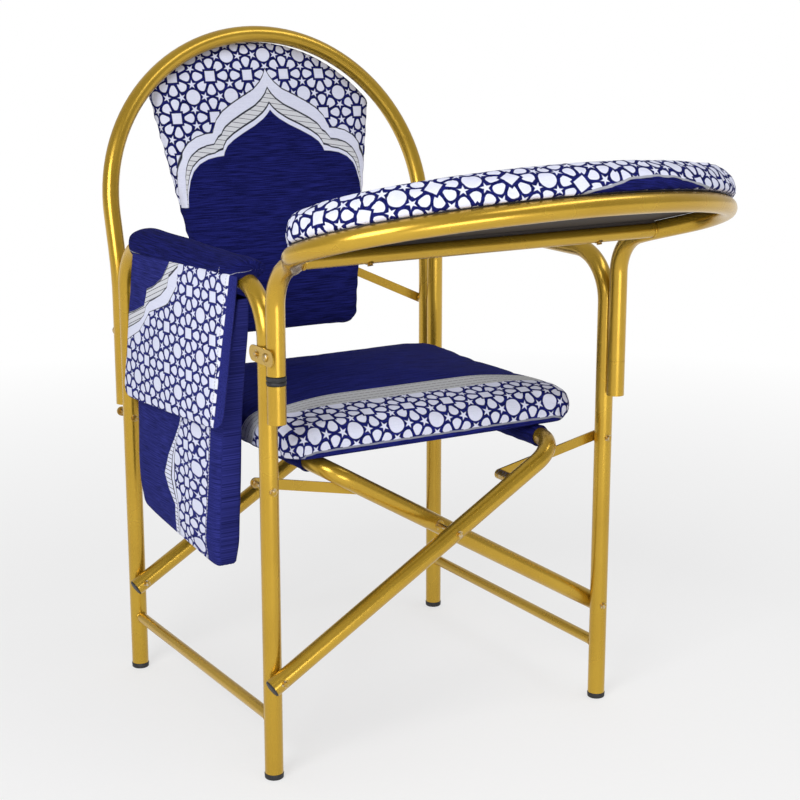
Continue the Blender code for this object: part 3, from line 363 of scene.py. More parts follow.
# Feet: moulded black plugs pushed into the open leg ends, with a collar that stands on the floor.
# The plastic is slightly grained and scuffed to grey in patches.
black_plastic, shader, place = start_material("black_moulding")
scuff = place.grain(90.0, 4.0)
plastic_colour = scuff.over(0.66, 0.1).blend((0.012, 0.012, 0.014, 1), (0.0504, 0.0504, 0.0568, 1))
wire(shader, plastic_colour, 0.42 + 0.25 * scuff, place.grain(1500.0), depth=0.0003, strength=0.4)
tip_radius = 1e-6


def turned(name, profile, point, way, surface, body, nodes=()):
    """A round piece: a profile of radius and height, turned about a line."""
    shape = bmesh.new()
    side = way.orthogonal().normalized()
    rise = way.cross(side)
    rings = []
    for radius, height in profile:
        centre = point + way * height
        if rings and (radius, height) == profile[0]:
            rings.append(rings[0])
        elif radius < tip_radius:
            rings.append([shape.verts.new(centre)])
        else:
            rings.append(circle(shape, centre, side, rise, radius, 32))
    join_rings(shape, rings)
    return add_piece(name, shape, surface, body, nodes)


foot_profile = [(0, 0), (0.0116, 0), (0.0127, 0.0010), (0.0131, 0.0070), (0.0128, 0.0078), (0.0124, 0.0080)]
for side_name, sign in sides:
    for row, way in ends:
        node = f"{side_name}_{row}_foot"
        spot = at(sign * leg_x, way * leg_y, 0.0)
        turned(f"{node}_cap", foot_profile, spot, up, black_plastic, f"{side_name}_frame", [node])

# Crossing frames: two U-shaped tubes whose arms cross in front and behind and whose rails carry the seat.
# Each arm runs a little past its pivot and is stopped with a black plug.
pivot_height, cross_slope = 0.146, math.radians(30.8)
rail_reach, rail_bend, arm_tail = 0.512, 0.045, 0.015
tube_pitch = tube_size + 0.0004
rail_x = rail_reach * math.cos(cross_slope) - leg_x
rail_height = pivot_height + rail_reach * math.sin(cross_slope)
plug_profile = [(0, -0.0024), (0.0085, -0.0024), (0.0112, -0.0016), (0.0121, -0.0002)]
plug_profile += [(0.0108, 0.0), (0.0106, 0.012)]
for letter, sign in (("a", 1), ("b", -1)):
    body = f"cross_{letter}"
    arm = Vector((sign * math.cos(cross_slope), 0, math.sin(cross_slope)))
    arm_y = [way * leg_y - sign * tube_pitch for _, way in ends]
    tails = [at(-sign * leg_x, y, pivot_height) - arm * arm_tail for y in arm_y]
    rail_ends = [at(sign * rail_x, y, rail_height) for y in arm_y]
    arm_path = round_path([tails[0], *rail_ends, tails[1]], rail_bend)
    bent_tube(f"crossing_tube_{letter}", arm_path, tube_size, body, f"cross_tube_{letter}")
    for (row, _), tail in zip(ends, tails):
        node = f"cross_{letter}_{row}_plug"
        turned(f"{node}_cap", plug_profile, tail, arm, black_plastic, body, [node])

# Rivets, pins and screws: domed steel, zinc-plated and sprayed thinly with gold that is rubbed through on
# the domes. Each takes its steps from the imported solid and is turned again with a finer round.
steel, shader, place = start_material("plated_rivet")
rubbed = place.grain(260.0, 3.0)
steel_colour = rubbed.over(0.58, 0.1).blend((0.50, 0.31, 0.05, 1), (0.62, 0.55, 0.42, 1))
wire(shader, steel_colour, 0.22 + 0.22 * rubbed, place.grain(900.0), depth=0.0002, strength=0.3)
shader.inputs["Metallic"].default_value = 0.9
body_of = {node: body for body, nodes in frame["record"]["behaviour"]["bodies"].items() for node in nodes}


def finer_round(node, way):
    """Turn a packed round solid again, with the same steps and a finer circle."""
    low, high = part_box(node)
    centre = (low + high) / 2
    spots = np.array([v.co for v in frame["nodes"][node].data.vertices], float) - np.array(centre)
    heights = spots @ np.array(way)
    radii = np.linalg.norm(spots - np.outer(heights, np.array(way)), axis=1)
    steps = sorted({(round(float(h), 5), round(float(r), 5)) for h, r in zip(heights, radii)})
    profile = []
    for level in sorted({h for h, _ in steps}):
        last = profile[-1][0] if profile else 0.0
        rings = sorted((r for h, r in steps if h == level), key=lambda r: abs(r - last))
        profile.extend((r, level) for r in rings[:1] + rings[1:][-1:])
    if profile[0][0] > tip_radius:
        profile.insert(0, (0.0, profile[0][1]))
    if profile[-1][0] > tip_radius:
        profile.append((0.0, profile[-1][1]))
    turned(f"{node}_turned", profile, centre, way, steel, body_of[node], [node])


other_ways = {"keeper_leg_rivet": sideways, "arm_pad_screw": up}
for node in sorted(body_of):
    if node in other_ways or node.endswith("_rivet") or node.startswith("back_pin"):
        finer_round(node, other_ways.get(node, across))

# Links: flat gold bars that guide the crossing frames, with rounded ends and softened edges.
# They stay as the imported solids, sprayed and with a small edge round.
flat_gold = gold_paint("gold_spray_on_flat_bar", 0.95)
bar_edge = 0.0006


def dress(node, surface, edge=0.0):
    """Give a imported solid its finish, and round its edges a little."""
    solid = frame["nodes"][node]
    for place in solid.material_slots:
        place.material = surface
    if edge:
        rounded = solid.modifiers.new("edge_round", "BEVEL")
        set_up(rounded, width=edge, segments=2, limit_method="ANGLE", angle_limit=math.radians(50))


for side_name, _ in sides:
    for row, _ in ends:
        dress(f"{side_name}_{row}_link", flat_gold, bar_edge)

# Table sockets: short tubes welded to the front of the legs. The left one has a black bush in its mouth,
# a flanged plastic ring with a groove, that the table's post turns in.
post_y = -leg_y - tube_pitch
socket_length = 0.050
socket_tops = {"left": 0.543, "right": 0.516}
for side_name, sign in sides:
    body, node, top = f"{side_name}_frame", f"{side_name}_table_socket", socket_tops[side_name]
    socket_path = [at(sign * leg_x, post_y, top - socket_length), at(sign * leg_x, post_y, top)]
    bent_tube(f"{side_name}_post_socket", socket_path, tube_size, body, node)
bush_profile = [(0.0075, 0.0005), (0.0122, 0.0005), (0.0129, 0.0012), (0.0131, 0.0042), (0.0127, 0.0050)]
bush_profile += [(0.0117, 0.0054), (0.0117, 0.0066)]
bush_profile += [(0.0127, 0.0070), (0.0131, 0.0078), (0.0129, 0.0110), (0.0122, 0.0117), (0.0075, 0.0117)]
bush, node = at(-leg_x, post_y, socket_tops["left"]), "left_socket_bush"
turned("post_bush_ring", bush_profile, bush, up, black_plastic, "left_frame", [node])

# Keeper: a flat plate with round ends riveted to the outside of the left leg; its free end hooks the table's
# post and has a loose stud head of its own.
dress("keeper_plate", flat_gold, edge=0.0005)
keeper_low, keeper_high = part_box("keeper_plate")
stud = Vector((keeper_low.x, middle.y + post_y, (keeper_low.z + keeper_high.z) / 2))
stud_profile = [(0.0056, 0.0), (0.0056, 0.0008), (0.0050, 0.0018), (0.0036, 0.0026), (0.0018, 0.0030)]
stud_profile.append((0, 0.0031))
turned("keeper_post_stud", stud_profile, stud, -sideways, steel, "left_frame")

# Table frame: one long tube that climbs from both posts into a wide ring, with a bar welded across its rear.
# The left post ends in a steel pin that stands in the bush; the right post only rests on its socket.
table_tilt = math.radians(17.6)
table_corner, post_bend = 0.6863, 0.060
ring_x, ring_reach, ring_front = 0.307, 0.140, 0.185
post_tangent = post_bend * math.tan((math.pi / 2 - table_tilt) / 2)
bar_size, bar_reach = 0.020, 0.075
left_foot, right_foot = at(-leg_x, post_y, 0.5556), at(leg_x, post_y, 0.5163)


def table_at(x, reach, above=0.0):
    """A place on the table's tilted plane: across, forward from the posts, and above it."""
    y = post_y - reach * math.cos(table_tilt) + above * math.sin(table_tilt)
    return at(x, y, table_corner + reach * math.sin(table_tilt) + above * math.cos(table_tilt))


def ring_half_width(reach):
    """How far the ring stands from the middle, widening smoothly from the posts."""
    share = min(1.0, max(0.0, (reach - post_tangent) / (ring_reach - post_tangent)))
    return leg_x + (ring_x - leg_x) * share * share * (3.0 - 2.0 * share)


def ring_outline(grow, start):
    """Right half of the ring's outline, rear to front tip, as across and reach."""
    side_steps, front_steps = 18, 30
    points = []
    for step in range(side_steps):
        reach = start + (ring_reach - start) * step / side_steps
        points.append((ring_half_width(reach) + grow, reach))
    for step in range(front_steps + 1):
        angle = math.pi / 2 * step / front_steps
        points.append(((ring_x + grow) * math.cos(angle), ring_reach + (ring_front + grow) * math.sin(angle)))
    return points


half = ring_outline(0.0, post_tangent)
ring_path = [left_foot]
ring_path += round_corner(left_foot, table_at(-leg_x, 0.0), table_at(-half[0][0], half[0][1]), post_bend)
ring_path += [table_at(-x, reach) for x, reach in half[1:-1]]
ring_path += [table_at(x, reach) for x, reach in reversed(half[1:])]
ring_path += round_corner(table_at(*half[0]), table_at(leg_x, 0.0), right_foot, post_bend)
ring_path.append(right_foot)
bent_tube("table_ring_and_posts", ring_path, tube_size, "table", "table_ring_tube")
bar_x = ring_half_width(bar_reach) - 0.35 * tube_size
bar_weld = ring_half_width(bar_reach) - 0.47 * tube_size
bar_path = [table_at(-bar_x, bar_reach), table_at(bar_x, bar_reach)]
bent_tube("table_cross_bar", bar_path, bar_size, "table", "table_rear_bar")
for side_name, sign in sides:
    spot = table_at(sign * bar_weld, bar_reach)
    weld_bead(f"table_bar_{side_name}_weld", spot, sideways, bar_size / 2, "table")
dress("table_pivot_pin", steel)
table_up = (table_at(0, 0, 1.0) - table_at(0, 0, 0.0)).normalized()
for side_name, _ in sides:
    finer_round(f"table_{side_name}_screw", table_up)

# Table board: a thin dark brown fibreboard with flecks under the pad, screwed to the bar from below.
# A strip of the same board packs the gap between it and the bar.
pressed_board, shader, place = start_material("pressed_board")
fleck = place.grain(600.0, 4.0)
board_colour = fleck.over(0.55, 0.2).blend((0.022, 0.018, 0.017, 1), (0.055, 0.044, 0.038, 1))
wire(shader, board_colour, 0.55 + 0.3 * fleck, fleck, depth=0.0004, strength=0.4)
dress("table_board", pressed_board, edge=0.0008)
strip_x, strip_half, strip_seat, strip_edge = bar_x - 0.001, 0.006, 0.001, 0.0005
strip_foot, strip_top = bar_size / 2 - strip_seat, tube_size / 2 + 0.0002
strip = bmesh.new()
for corner in bmesh.ops.create_cube(strip, size=2.0)["verts"]:
    x, reach, above = corner.co
    corner.co = table_at(x * strip_x, bar_reach + reach * strip_half, strip_top if above > 0 else strip_foot)
bmesh.ops.bevel(strip, geom=list(strip.edges), offset=strip_edge, segments=2, affect="EDGES")
add_piece("table_packing_strip", strip, pressed_board, "table")

# Woven cloth: a heavy navy slub cloth with a white lattice of circles, stars and shields woven into parts of
# it. The pieces below are all cut from it, and carry their flat place in it, so the pattern bends with them.
navy_deep, navy_bright = (0.0038, 0.0050, 0.048, 1), (0.016, 0.0195, 0.175, 1)
white_deep, white_bright = (0.66, 0.68, 0.84, 1), (0.77, 0.79, 0.93, 1)


def lattice(u, v, du, dv, turn=0.0):
    """1 on the lattice's white shapes and 0 on its navy lines, in mm; a circle stands at du, dv."""
    pitch, line, soft = 63.5, 4.2, 0.4
    circle_radius, circle_room, square_half, cell_radius = 11.4, 15.2, 8.0, 8.2
    star_at, star_tip, star_waist, star_room = 0.305 * pitch, 7.0, 2.8, 9.2
    half, shield, side_shield = pitch / 2, 0.270 * pitch, 0.168 * pitch
    cosine, sine = 1000.0 * math.cos(turn), 1000.0 * math.sin(turn)
    a = abs((cosine * (u - du) + sine * (v - dv) + half) % pitch - half)
    b = abs((cosine * (v - dv) - sine * (u - du) + half) % pitch - half)
    far, near = a.most(b), a.least(b)
    fold = a.vector(far, near)

    def gap(x, y):
        return a.node("ShaderNodeVectorMath", {"operation": "DISTANCE"}, {0: fold, 1: (x, y, 0.0)}, 1)

    middle_gap, star = gap(0.0, 0.0), gap(star_at, 0.0)
    shields = [gap(shield, shield), gap(shield, -shield), gap(half, side_shield), gap(half, -side_shield)]
    first, second = shields[0].least(shields[1]), shields[0].most(shields[1])
    for other in shields[2:]:
        second = second.least(first.most(other))
        first = first.least(other)
    fifth = math.pi / 5
    arm = abs((a.maths("ARCTAN2", near, far - star_at) + fifth) % (2 * fifth) - fifth)
    fall, run = star_waist * math.sin(fifth), star_tip - star_waist * math.cos(fifth)
    length = math.hypot(fall, run)
    along, aside = star * a.maths("COSINE", arm), star * a.maths("SINE", arm)
    past = (along - star_tip) * (fall / length) + aside * (run / length)
    corner = half - near
    clear = past.over(0.8 * line, soft).most(star.over(star_room, soft))
    clear = clear * middle_gap.over(circle_room, soft) * corner.over(square_half + 0.8 * line, soft)
    cells = clear * (second - first).over(line, soft) * (1.0 - first.over(cell_radius, soft))
    shapes = (1.0 - middle_gap.over(circle_radius, soft)).most(1.0 - past.over(0.0, soft))
    return shapes.most(1.0 - corner.over(square_half, soft)).most(cells)


def navy(streak, thread, deep=navy_deep, bright=navy_bright):
    return (0.75 * streak + 0.25 * thread).over(0.53, 0.15).blend(deep, bright)


def white(streak, thread):
    return (0.5 * streak + 0.5 * thread).over(0.47, 0.2).blend(white_deep, white_bright)


def cloth_material(name, draw_colour):
    """A cloth piece: draw_colour gives its colour from the place in the cloth, and how far it stands up."""
    made, shader, place = start_material(name, "ShaderNodeAttribute", {"attribute_name": "cloth"}, "Vector")
    u, v, w = place.parts()
    streak = place.vector(30.0 * u, 640.0 * v, 30.0 * w).grain(1.0, 3.0)
    thread = place.vector(520.0 * u, 1400.0 * v, 400.0 * w).grain(1.0, 1.0)
    colour, raised = draw_colour(u, v, w, streak, thread)
    height = 0.55 * streak + 0.45 * thread + raised
    wire(shader, colour, 0.78 + 0.18 * streak, height, depth=0.0009, strength=0.6)
    shader.inputs["Specular IOR Level"].default_value = 0.05
    return made


def lay_flat(piece, places):
    """Store each point's place in the flat cloth."""
    store = piece.data.attributes.new("cloth", "FLOAT_VECTOR", "POINT")
    store.data.foreach_set("vector", np.array(places, np.float32).ravel())


def even_outline(points, count):
    """The same closed outline with evenly spaced points, anticlockwise, and their outward directions."""
    points = [Vector((p[0], p[1])) for p in points]
    lengths = [(b - a).length for a, b in zip(points, points[1:] + points[:1])]
    total, spots, walked, edge = sum(lengths), [], 0.0, 0
    for step in range(count):
        target = total * step / count
        while walked + lengths[edge] < target:
            walked += lengths[edge]
            edge += 1
        start, end = points[edge], points[(edge + 1) % len(points)]
        spots.append(start.lerp(end, (target - walked) / max(lengths[edge], 1e-9)))
    runs = [after - before for before, after in zip(spots[-1:] + spots, spots[1:] + spots[:1])]
    return spots, [Vector((run.y, -run.x)).normalized() for run in runs]


def stuffed(name, outline, centre, sizes, frame_turn, ride, cloth, recess=0.0, voxel=0.005, low=-78, high=78):
    """A closed pad: drawn in at both seams, full at its sides and crowned on top, then blown up as cloth.

    sizes are the rim, the crown on it, how far the seams draw in and how far the stuffing may push the cloth
    out. ride gives the body and the CAD node; the slot it also holds is not used. The underside stays flat,
    or hollow by recess, and the round of the side runs between the angles low and high.
    """
    rim, crown, draw_in, room = sizes
    body, node, slot = ride
    spots, ways = even_outline(outline, count=160)
    centre = Vector(centre)
    turns = np.radians(np.linspace(low, high, 9))
    lift = (np.sin(turns) - np.sin(turns[0])) / (np.sin(turns[-1]) - np.sin(turns[0]))
    slack = 0.35 * room
    side = [(draw_in * (1 - math.cos(t)) + slack, rim * rise) for t, rise in zip(turns, lift)]
    steps = [(0.88, side[0][0], recess), (0.93, side[0][0], recess)]
    steps += [(1.0, inset, height) for inset, height in side]
    for share in (0.93, 0.84, 0.72, 0.58, 0.42, 0.26, 0.12):
        steps.append((share, side[-1][0], rim + crown * (1 - share ** 2) ** 0.9))
    shape = bmesh.new()
    rings = []
    for share, inset, height in steps:
        ring = [centre + (spot - way * inset - centre) * share for spot, way in zip(spots, ways)]
        rings.append([shape.verts.new((x, y, height)) for x, y in ring])
    join_rings(shape, rings)
    shape.faces.new(list(reversed(rings[0])))
    shape.faces.new(rings[-1])
    piece = add_piece(name, shape, cloth, body, [node], sharp=180.0)
    remesh(piece, voxel)
    lay_cloth(piece, np.array(spots), np.array(ways), side)
    blow_up(piece, room, flat_below=0.08 * rim + recess)
    piece.data.transform(frame_turn)
    smooth_once(piece)
    return piece


def remesh(piece, voxel):
    """Give a piece an even mesh of small squares."""
    set_up(piece.modifiers.new("even_mesh", "REMESH"), mode="VOXEL", voxel_size=voxel)
    graph = bpy.context.evaluated_depsgraph_get()
    mesh = bpy.data.meshes.new_from_object(piece.evaluated_get(graph))
    piece.modifiers.clear()
    surface = piece.data.materials[0]
    piece.data = mesh
    mesh.materials.clear()
    mesh.materials.append(surface)
    mesh.shade_smooth()


def lay_cloth(piece, spots, ways, side):
    """Lay a pad's cloth flat: as it lies on top and below, and down the sides by the length along them."""
    points = np.array([v.co for v in piece.data.vertices], float)
    insets, heights = np.array(side).T
    lengths = np.hypot(np.diff(insets), np.diff(heights))
    below = np.append(np.cumsum(lengths[::-1])[::-1], 0.0)
    nearest = np.empty(len(points), int)
    batch = 4000
    for start in range(0, len(points), batch):
        part = points[start:start + batch, None, :2] - spots[None]
        nearest[start:start + batch] = np.argmin((part ** 2).sum(2), axis=1)
    normal = ways[nearest]
    tangent = np.column_stack([-normal[:, 1], normal[:, 0]])
    offset = points[:, :2] - spots[nearest]
    aside, depth = (offset * tangent).sum(1), (offset * normal).sum(1)
    seam = spots[nearest] + tangent * aside[:, None] - normal * insets[-1]
    unrolled = seam + normal * np.interp(points[:, 2], heights, below)[:, None]
    rim_width, upper = 0.006, 0.4 * heights[-1]
    at_rim = depth > -insets[0] - rim_width
    beside = (points[:, 2] < heights[-1]) & ((points[:, 2] > upper) | at_rim)
    flat = np.where(beside[:, None], unrolled, points[:, :2])
    lay_flat(piece, np.column_stack([flat, points[:, 2]]))


def blow_up(piece, room, flat_below):
    """Run cloth under air pressure with the underside held, and keep the settled shape."""
    frames = 20
    mesh = piece.data
    start = np.array([v.co for v in mesh.vertices], float)
    held = piece.vertex_groups.new(name="held")
    held.add([int(i) for i in np.nonzero(start[:, 2] < flat_below)[0]], 1.0, "REPLACE")
    cloth = piece.modifiers.new("stuffing", "CLOTH").settings
    set_up(cloth, quality=5, mass=0.3, vertex_group_mass="held", shrink_min=-0.025)
    set_up(cloth, tension_stiffness=12.0, compression_stiffness=12.0, shear_stiffness=4.0)
    set_up(cloth, bending_stiffness=0.6, use_pressure=True, uniform_pressure_force=4.0)
    cloth.effector_weights.gravity = 0.0
    for step in range(1, frames + 1):
        scene.frame_set(step)
    graph = bpy.context.evaluated_depsgraph_get()
    settled = np.array([v.co for v in piece.evaluated_get(graph).data.vertices], float)
    piece.modifiers.clear()
    piece.vertex_groups.clear()
    scene.frame_set(1)
    moves = settled - start
    lengths = np.linalg.norm(moves, axis=1, keepdims=True)
    capped = start + moves * np.minimum(1.0, room / np.maximum(lengths, 1e-9))
    capped[:, 2] = np.maximum(capped[:, 2], start[:, 2].min())
    mesh.vertices.foreach_set("co", capped.astype(np.float32).ravel())
    mesh.update()


def smooth_once(piece):
    """One level of subdivision."""
    set_up(piece.modifiers.new("smooth", "SUBSURF"), levels=1, render_levels=1)


# Table pad: thick foam on the board under tight lattice cloth that is pulled down on to the ring.
# One navy lobe of the cloth's border shows on the right of the front rim, edged with a pale line.
table_rim, table_crown, table_draw, table_room = 0.034, 0.014, 0.013, 0.005
table_rear, pad_aside = 0.050, 0.006
pad_half = ring_outline(0.5 * tube_size, table_rear)
pad_outline = [(pad_aside - x, -reach) for x, reach in pad_half]
pad_outline += [(pad_aside + x, -reach) for x, reach in reversed(pad_half[:-1])]
pad_centre = (pad_aside, -(table_rear + ring_reach + ring_front) / 2)
board_base, board_hollow = 0.5 * tube_size + 0.0003, 0.003
lobe_edge = [(-40, -366), (-23, -361), (12, -357), (43, -347.5), (82, -340), (125, -335), (161, -333)]
lobe_edge += [(206, -324.7), (240, -330)]


def drawn_line(along, points):
    """How high a line through points in mm stands at a place along it."""
    first, last = points[0][0], points[-1][0]
    low, high = min(y for _, y in points), max(y for _, y in points)
    curve = [((x - first) / (last - first), (y - low) / (high - low)) for x, y in points]
    share = (along - 0.001 * first) * (1000.0 / (last - first))
    height = along.node("ShaderNodeFloatCurve", {"curve": curve}, {"Value": share})
    return 0.001 * (high - low) * height + 0.001 * low


def table_colour(u, v, w, streak, thread):
    lines = lattice(u, v, du=-0.155, dv=-0.300, turn=0.42)
    deep = navy(streak, thread)
    edge, piping = drawn_line(u, lobe_edge), 0.0032
    colour = lines.blend(deep, white(streak, thread))
    colour = (edge + piping - v).over(0.0, 0.0004).blend(colour, (0.36, 0.37, 0.42, 1))
    return (edge - v).over(0.0, 0.0004).blend(colour, deep), 0.25 * lines


table_pad = stuffed(
    "table_padding", pad_outline, pad_centre, (table_rim, table_crown, table_draw, table_room),
    Matrix.Translation(table_at(0, 0, board_base)) @ Matrix.Rotation(-table_tilt, 4, "X"),
    ("table", "table_pad", "lattice_fabric"), cloth_material("table_cloth", table_colour),
    recess=board_hollow, low=-40,
)

# Back arch: one tube bent to a round top; its legs stand behind the rear legs and lift off two headed pins.
# Two flat stays run from its legs to the back of the pad.
arch_y = leg_y + tube_pitch
arch_foot, arch_kink, arch_lean = 0.415, 0.611, math.radians(13.9)
arch_side, arch_rise, kink_bend = 0.0917, 0.2634, 0.300


def arch_at(x, rise):
    """A place in the arch's leaning plane, measured up from the kink."""
    return at(x, arch_y + rise * math.sin(arch_lean), arch_kink + rise * math.cos(arch_lean))


crown_turns = [math.pi * step / 60 for step in range(61)]
crown_path = [arch_at(-leg_x * math.cos(t), arch_side + arch_rise * math.sin(t)) for t in crown_turns]
left_end, right_end = at(-leg_x, arch_y, arch_foot), at(leg_x, arch_y, arch_foot)
arch_path = [left_end] + round_corner(left_end, arch_at(-leg_x, 0.0), crown_path[0], kink_bend) + crown_path
arch_path += round_corner(crown_path[-1], arch_at(leg_x, 0.0), right_end, kink_bend) + [right_end]
bent_tube("back_arch", arch_path, tube_size, "back", "back_arch_tube")
for side_name, _ in sides:
    dress(f"{side_name}_back_stay", flat_gold, bar_edge)

# Back pad: a thin foam panel inside the arch, set a little to the right. Its cloth has lattice at the top,
# and below it a navy field under a lobed and pointed arch that is drawn with a white and a hatched band.
back_lean, back_foot, back_front = math.radians(12.2), 0.500, 0.2485
back_width, back_corner, back_thick, back_offset = 0.250, 0.028, 0.028, 0.016
back_sizes = (0.75 * back_thick, 0.25 * back_thick, 0.002, 0.003)
pad_x, pad_rise = leg_x - tube_size / 2 + 0.005, arch_rise - tube_size / 2 + 0.005
pad_middle = (arch_kink + arch_side * math.cos(arch_lean) - back_foot) / math.cos(back_lean)
arc_half = pad_x * math.cos(math.radians(42.5))
arc_start = math.acos((arc_half + back_offset) / pad_x)
arc_end = math.pi - math.acos((arc_half - back_offset) / pad_x)
arc_turns = [arc_start + (arc_end - arc_start) * step / 40 for step in range(41)]
arc = [Vector((pad_x * math.cos(t), pad_middle + pad_rise * math.sin(t), 0.0)) for t in arc_turns]
corner_right = Vector((back_offset + back_width / 2, 0, 0))
corner_left = Vector((back_offset - back_width / 2, 0, 0))
back_outline = round_corner(corner_left, corner_right, arc[0], back_corner) + arc
back_outline += round_corner(arc[-1], corner_left, corner_right, back_corner)
ink = (0.030, 0.032, 0.050, 1)
arch_axis, field_foot = 0.019, 0.203
field_edge = [(0, 347), (6, 340), (14, 333), (30, 323), (50, 313), (68, 303), (80, 294), (86, 285), (88, 279)]
field_edge += [(100, 278), (115, 275), (130, 268), (142, 257), (149, 244), (154, 225), (157, 195)]
field_edge += [(158, 60), (230, 60)]
band_edge = [(0, 414), (5, 403), (12, 393), (25, 381), (45, 371), (65, 360), (82, 349), (94, 336), (100, 322)]
band_edge += [(102, 316), (115, 315), (130, 311), (145, 303), (157, 291), (166, 274), (172, 250)]
band_edge += [(175, 205), (230, 200)]


def back_colour(u, v, w, streak, thread):
    hatch_from, hatch_to, rim_line, hatch_pitch, hatch_slope = 0.17, 0.52, 0.985, 0.0076, 0.16
    deep, pale = navy(streak, thread), white(streak, thread)
    lines = lattice(u, v, du=arch_axis, dv=0.371)
    inner, outer = [drawn_line(abs(u - arch_axis), edge) for edge in (field_edge, band_edge)]
    share = (v - inner) / (outer - inner).most(0.001)
    hatch = ((v + hatch_slope * (u - arch_axis)) % hatch_pitch).over(0.0008, 0.0002)
    banded = share.over(hatch_from, 0.02).blend(pale, hatch.blend(ink, (0.66, 0.67, 0.71, 1)))
    banded = share.over(hatch_to, 0.02).blend(banded, pale)
    rule = abs(share - hatch_from).least(abs(share - hatch_to)).least(abs(share - rim_line))
    banded = rule.over(0.028, 0.008).blend(ink, banded)
    colour = share.over(1.0, 0.01).blend(banded, lines.blend(deep, pale))
    above = (v - inner).over(0.0, 0.0005) * v.over(field_foot, 0.0005) * w.over(0.003, 0.001)
    return above.blend(deep, colour), 0.2 * lines * above


back_turn = Matrix.Rotation(math.pi / 2 - back_lean, 4, "X") @ Matrix.Translation((0, 0, -back_thick))
back_pad = stuffed(
    "back_padding", back_outline, (back_offset, pad_middle), back_sizes,
    Matrix.Translation(at(0, back_front, back_foot)) @ back_turn,
    ("back", "back_pad", "lattice_fabric"), cloth_material("back_cloth", back_colour),
)

# Seat: a sleeve of the cloth sewn round each rail and one crowned foam cushion across them.
# The cloth is navy on top, then a pale ruled border at the front, the lattice over the rim and a navy hem.
seat_left, seat_right, seat_depth, seat_corner = -0.237, 0.246, 0.430, 0.050
seat_sizes = seat_rim, seat_crown, seat_draw, seat_room = 0.038, 0.0215, 0.012, 0.006
# The seat's navy is a brighter, bluer copy of the cloth's navy: painted light on the cushion's upward face.
seat_lit_navy_deep, seat_lit_navy_bright = (0.0046, 0.0064, 0.062, 1), (0.018, 0.023, 0.215, 1)
sleeve_outer, sleeve_inner, ripple, hem_step = 0.0150, 0.0130, 0.0004, 0.0007


def plain_colour(u, v, w, streak, thread):
    return navy(streak, thread), thread


sleeve_cloth = cloth_material("sleeve_cloth", plain_colour)
for side_name, body, rail in (("left", "cross_b", "crossing_tube_b"), ("right", "seat", "crossing_tube_a")):
    node = f"seat_sleeve_{side_name}"
    low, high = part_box(node)
    centre = (low + high) / 2
    length = high.y - low.y
    hem = [(sleeve_inner, 0.0), (sleeve_outer - ripple, 0.0)]
    hem += [(sleeve_outer + hem_step, 0.003), (sleeve_outer, 0.008)]
    profile = hem + [(sleeve_outer + ripple * math.sin(9.0 * s), length * s / 24) for s in range(2, 23)]
    profile += [(radius, length - height) for radius, height in reversed(hem)] + hem[:1]
    spot = Vector((centre.x, low.y, centre.z))
    name = f"rail_sleeve_{side_name}"
    sleeve = turned(name, profile, spot, across, sleeve_cloth, body, [node])
    places = []
    for x, y, z in [vert.co for vert in sleeve.data.vertices]:
        places.append((y, sleeve_outer * math.atan2(z - centre.z, x - centre.x), z))
    lay_flat(sleeve, places)


def seat_colour(u, v, w, streak, thread):
    front = -seat_depth / 2
    hem, piping, border_start, border_end = front - 0.0225, 0.003, front + 0.0695, front + 0.1075
    lines = lattice(u, v, du=0.0012, dv=front + 0.0018)
    # The seat's lighter navy is painted light on its top.
    deep, pale = navy(streak, thread, seat_lit_navy_deep, seat_lit_navy_bright), white(streak, thread)
    slant, slant_from = 0.6, -0.185
    rule_pitch, rule_line, dash_pitch, dash_long = 0.0095, 0.0062, 0.0090, 0.0072
    inward = v - slant * (slant_from - u).most(0.0)
    rule = abs((inward - border_start) % rule_pitch - rule_line)
    dash = rule.over(0.0007, 0.0003).most((u % dash_pitch).over(dash_long, 0.0006))
    ruled = dash.blend((0.16, 0.16, 0.17, 1), (0.52, 0.53, 0.55, 1))
    colour = inward.over(border_start, 0.0006).blend(lines.blend(deep, pale), ruled)
    colour = inward.over(border_end, 0.0006).blend(colour, deep)
    colour = v.over(hem + piping, 0.0004).blend((0.26, 0.27, 0.33, 1), colour)
    shown = v.over(hem, 0.0004) * w.over(0.002, 0.0005)
    return shown.blend(deep, colour), 0.2 * lines * shown


def rounded_panel(left, right, depth, radius):
    """A rectangle's outline with rounded corners, centred from front to rear."""
    front, rear = -depth / 2, depth / 2
    corners = [Vector((x, y, 0)) for x, y in ((left, front), (right, front), (right, rear), (left, rear))]
    outline = []
    for index, corner in enumerate(corners):
        outline += round_corner(corners[index - 1], corner, corners[(index + 1) % 4], radius)
    return outline


seat_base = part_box("seat_cushion")[0].z
seat = stuffed(
    "seat_padding", rounded_panel(seat_left, seat_right, seat_depth, seat_corner), (0.0, 0.0),
    seat_sizes, Matrix.Translation(at(0, 0, seat_base)),
    ("seat", "seat_cushion", "navy_fabric"), cloth_material("seat_cloth", seat_colour),
)
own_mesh(seat)

# Right arm rest: a narrow foam pad in navy cloth on the flat of the arm, screwed from below.
# Its cloth is pulled tight round the ends.
rest_half, rest_length = 0.020, 0.250
rest_sizes = (0.016, 0.006, 0.004, 0.002)
rest_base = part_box("right_arm_pad")[0].z
arm_pad = stuffed(
    "right_arm_padding", rounded_panel(-rest_half, rest_half, rest_length, 0.9 * rest_half), (0.0, 0.0),
    rest_sizes, Matrix.Translation(at(leg_x, 0, rest_base)),
    ("right_frame", "right_arm_pad", "navy_fabric"), cloth_material("arm_pad_cloth", plain_colour),
    voxel=0.003,
)

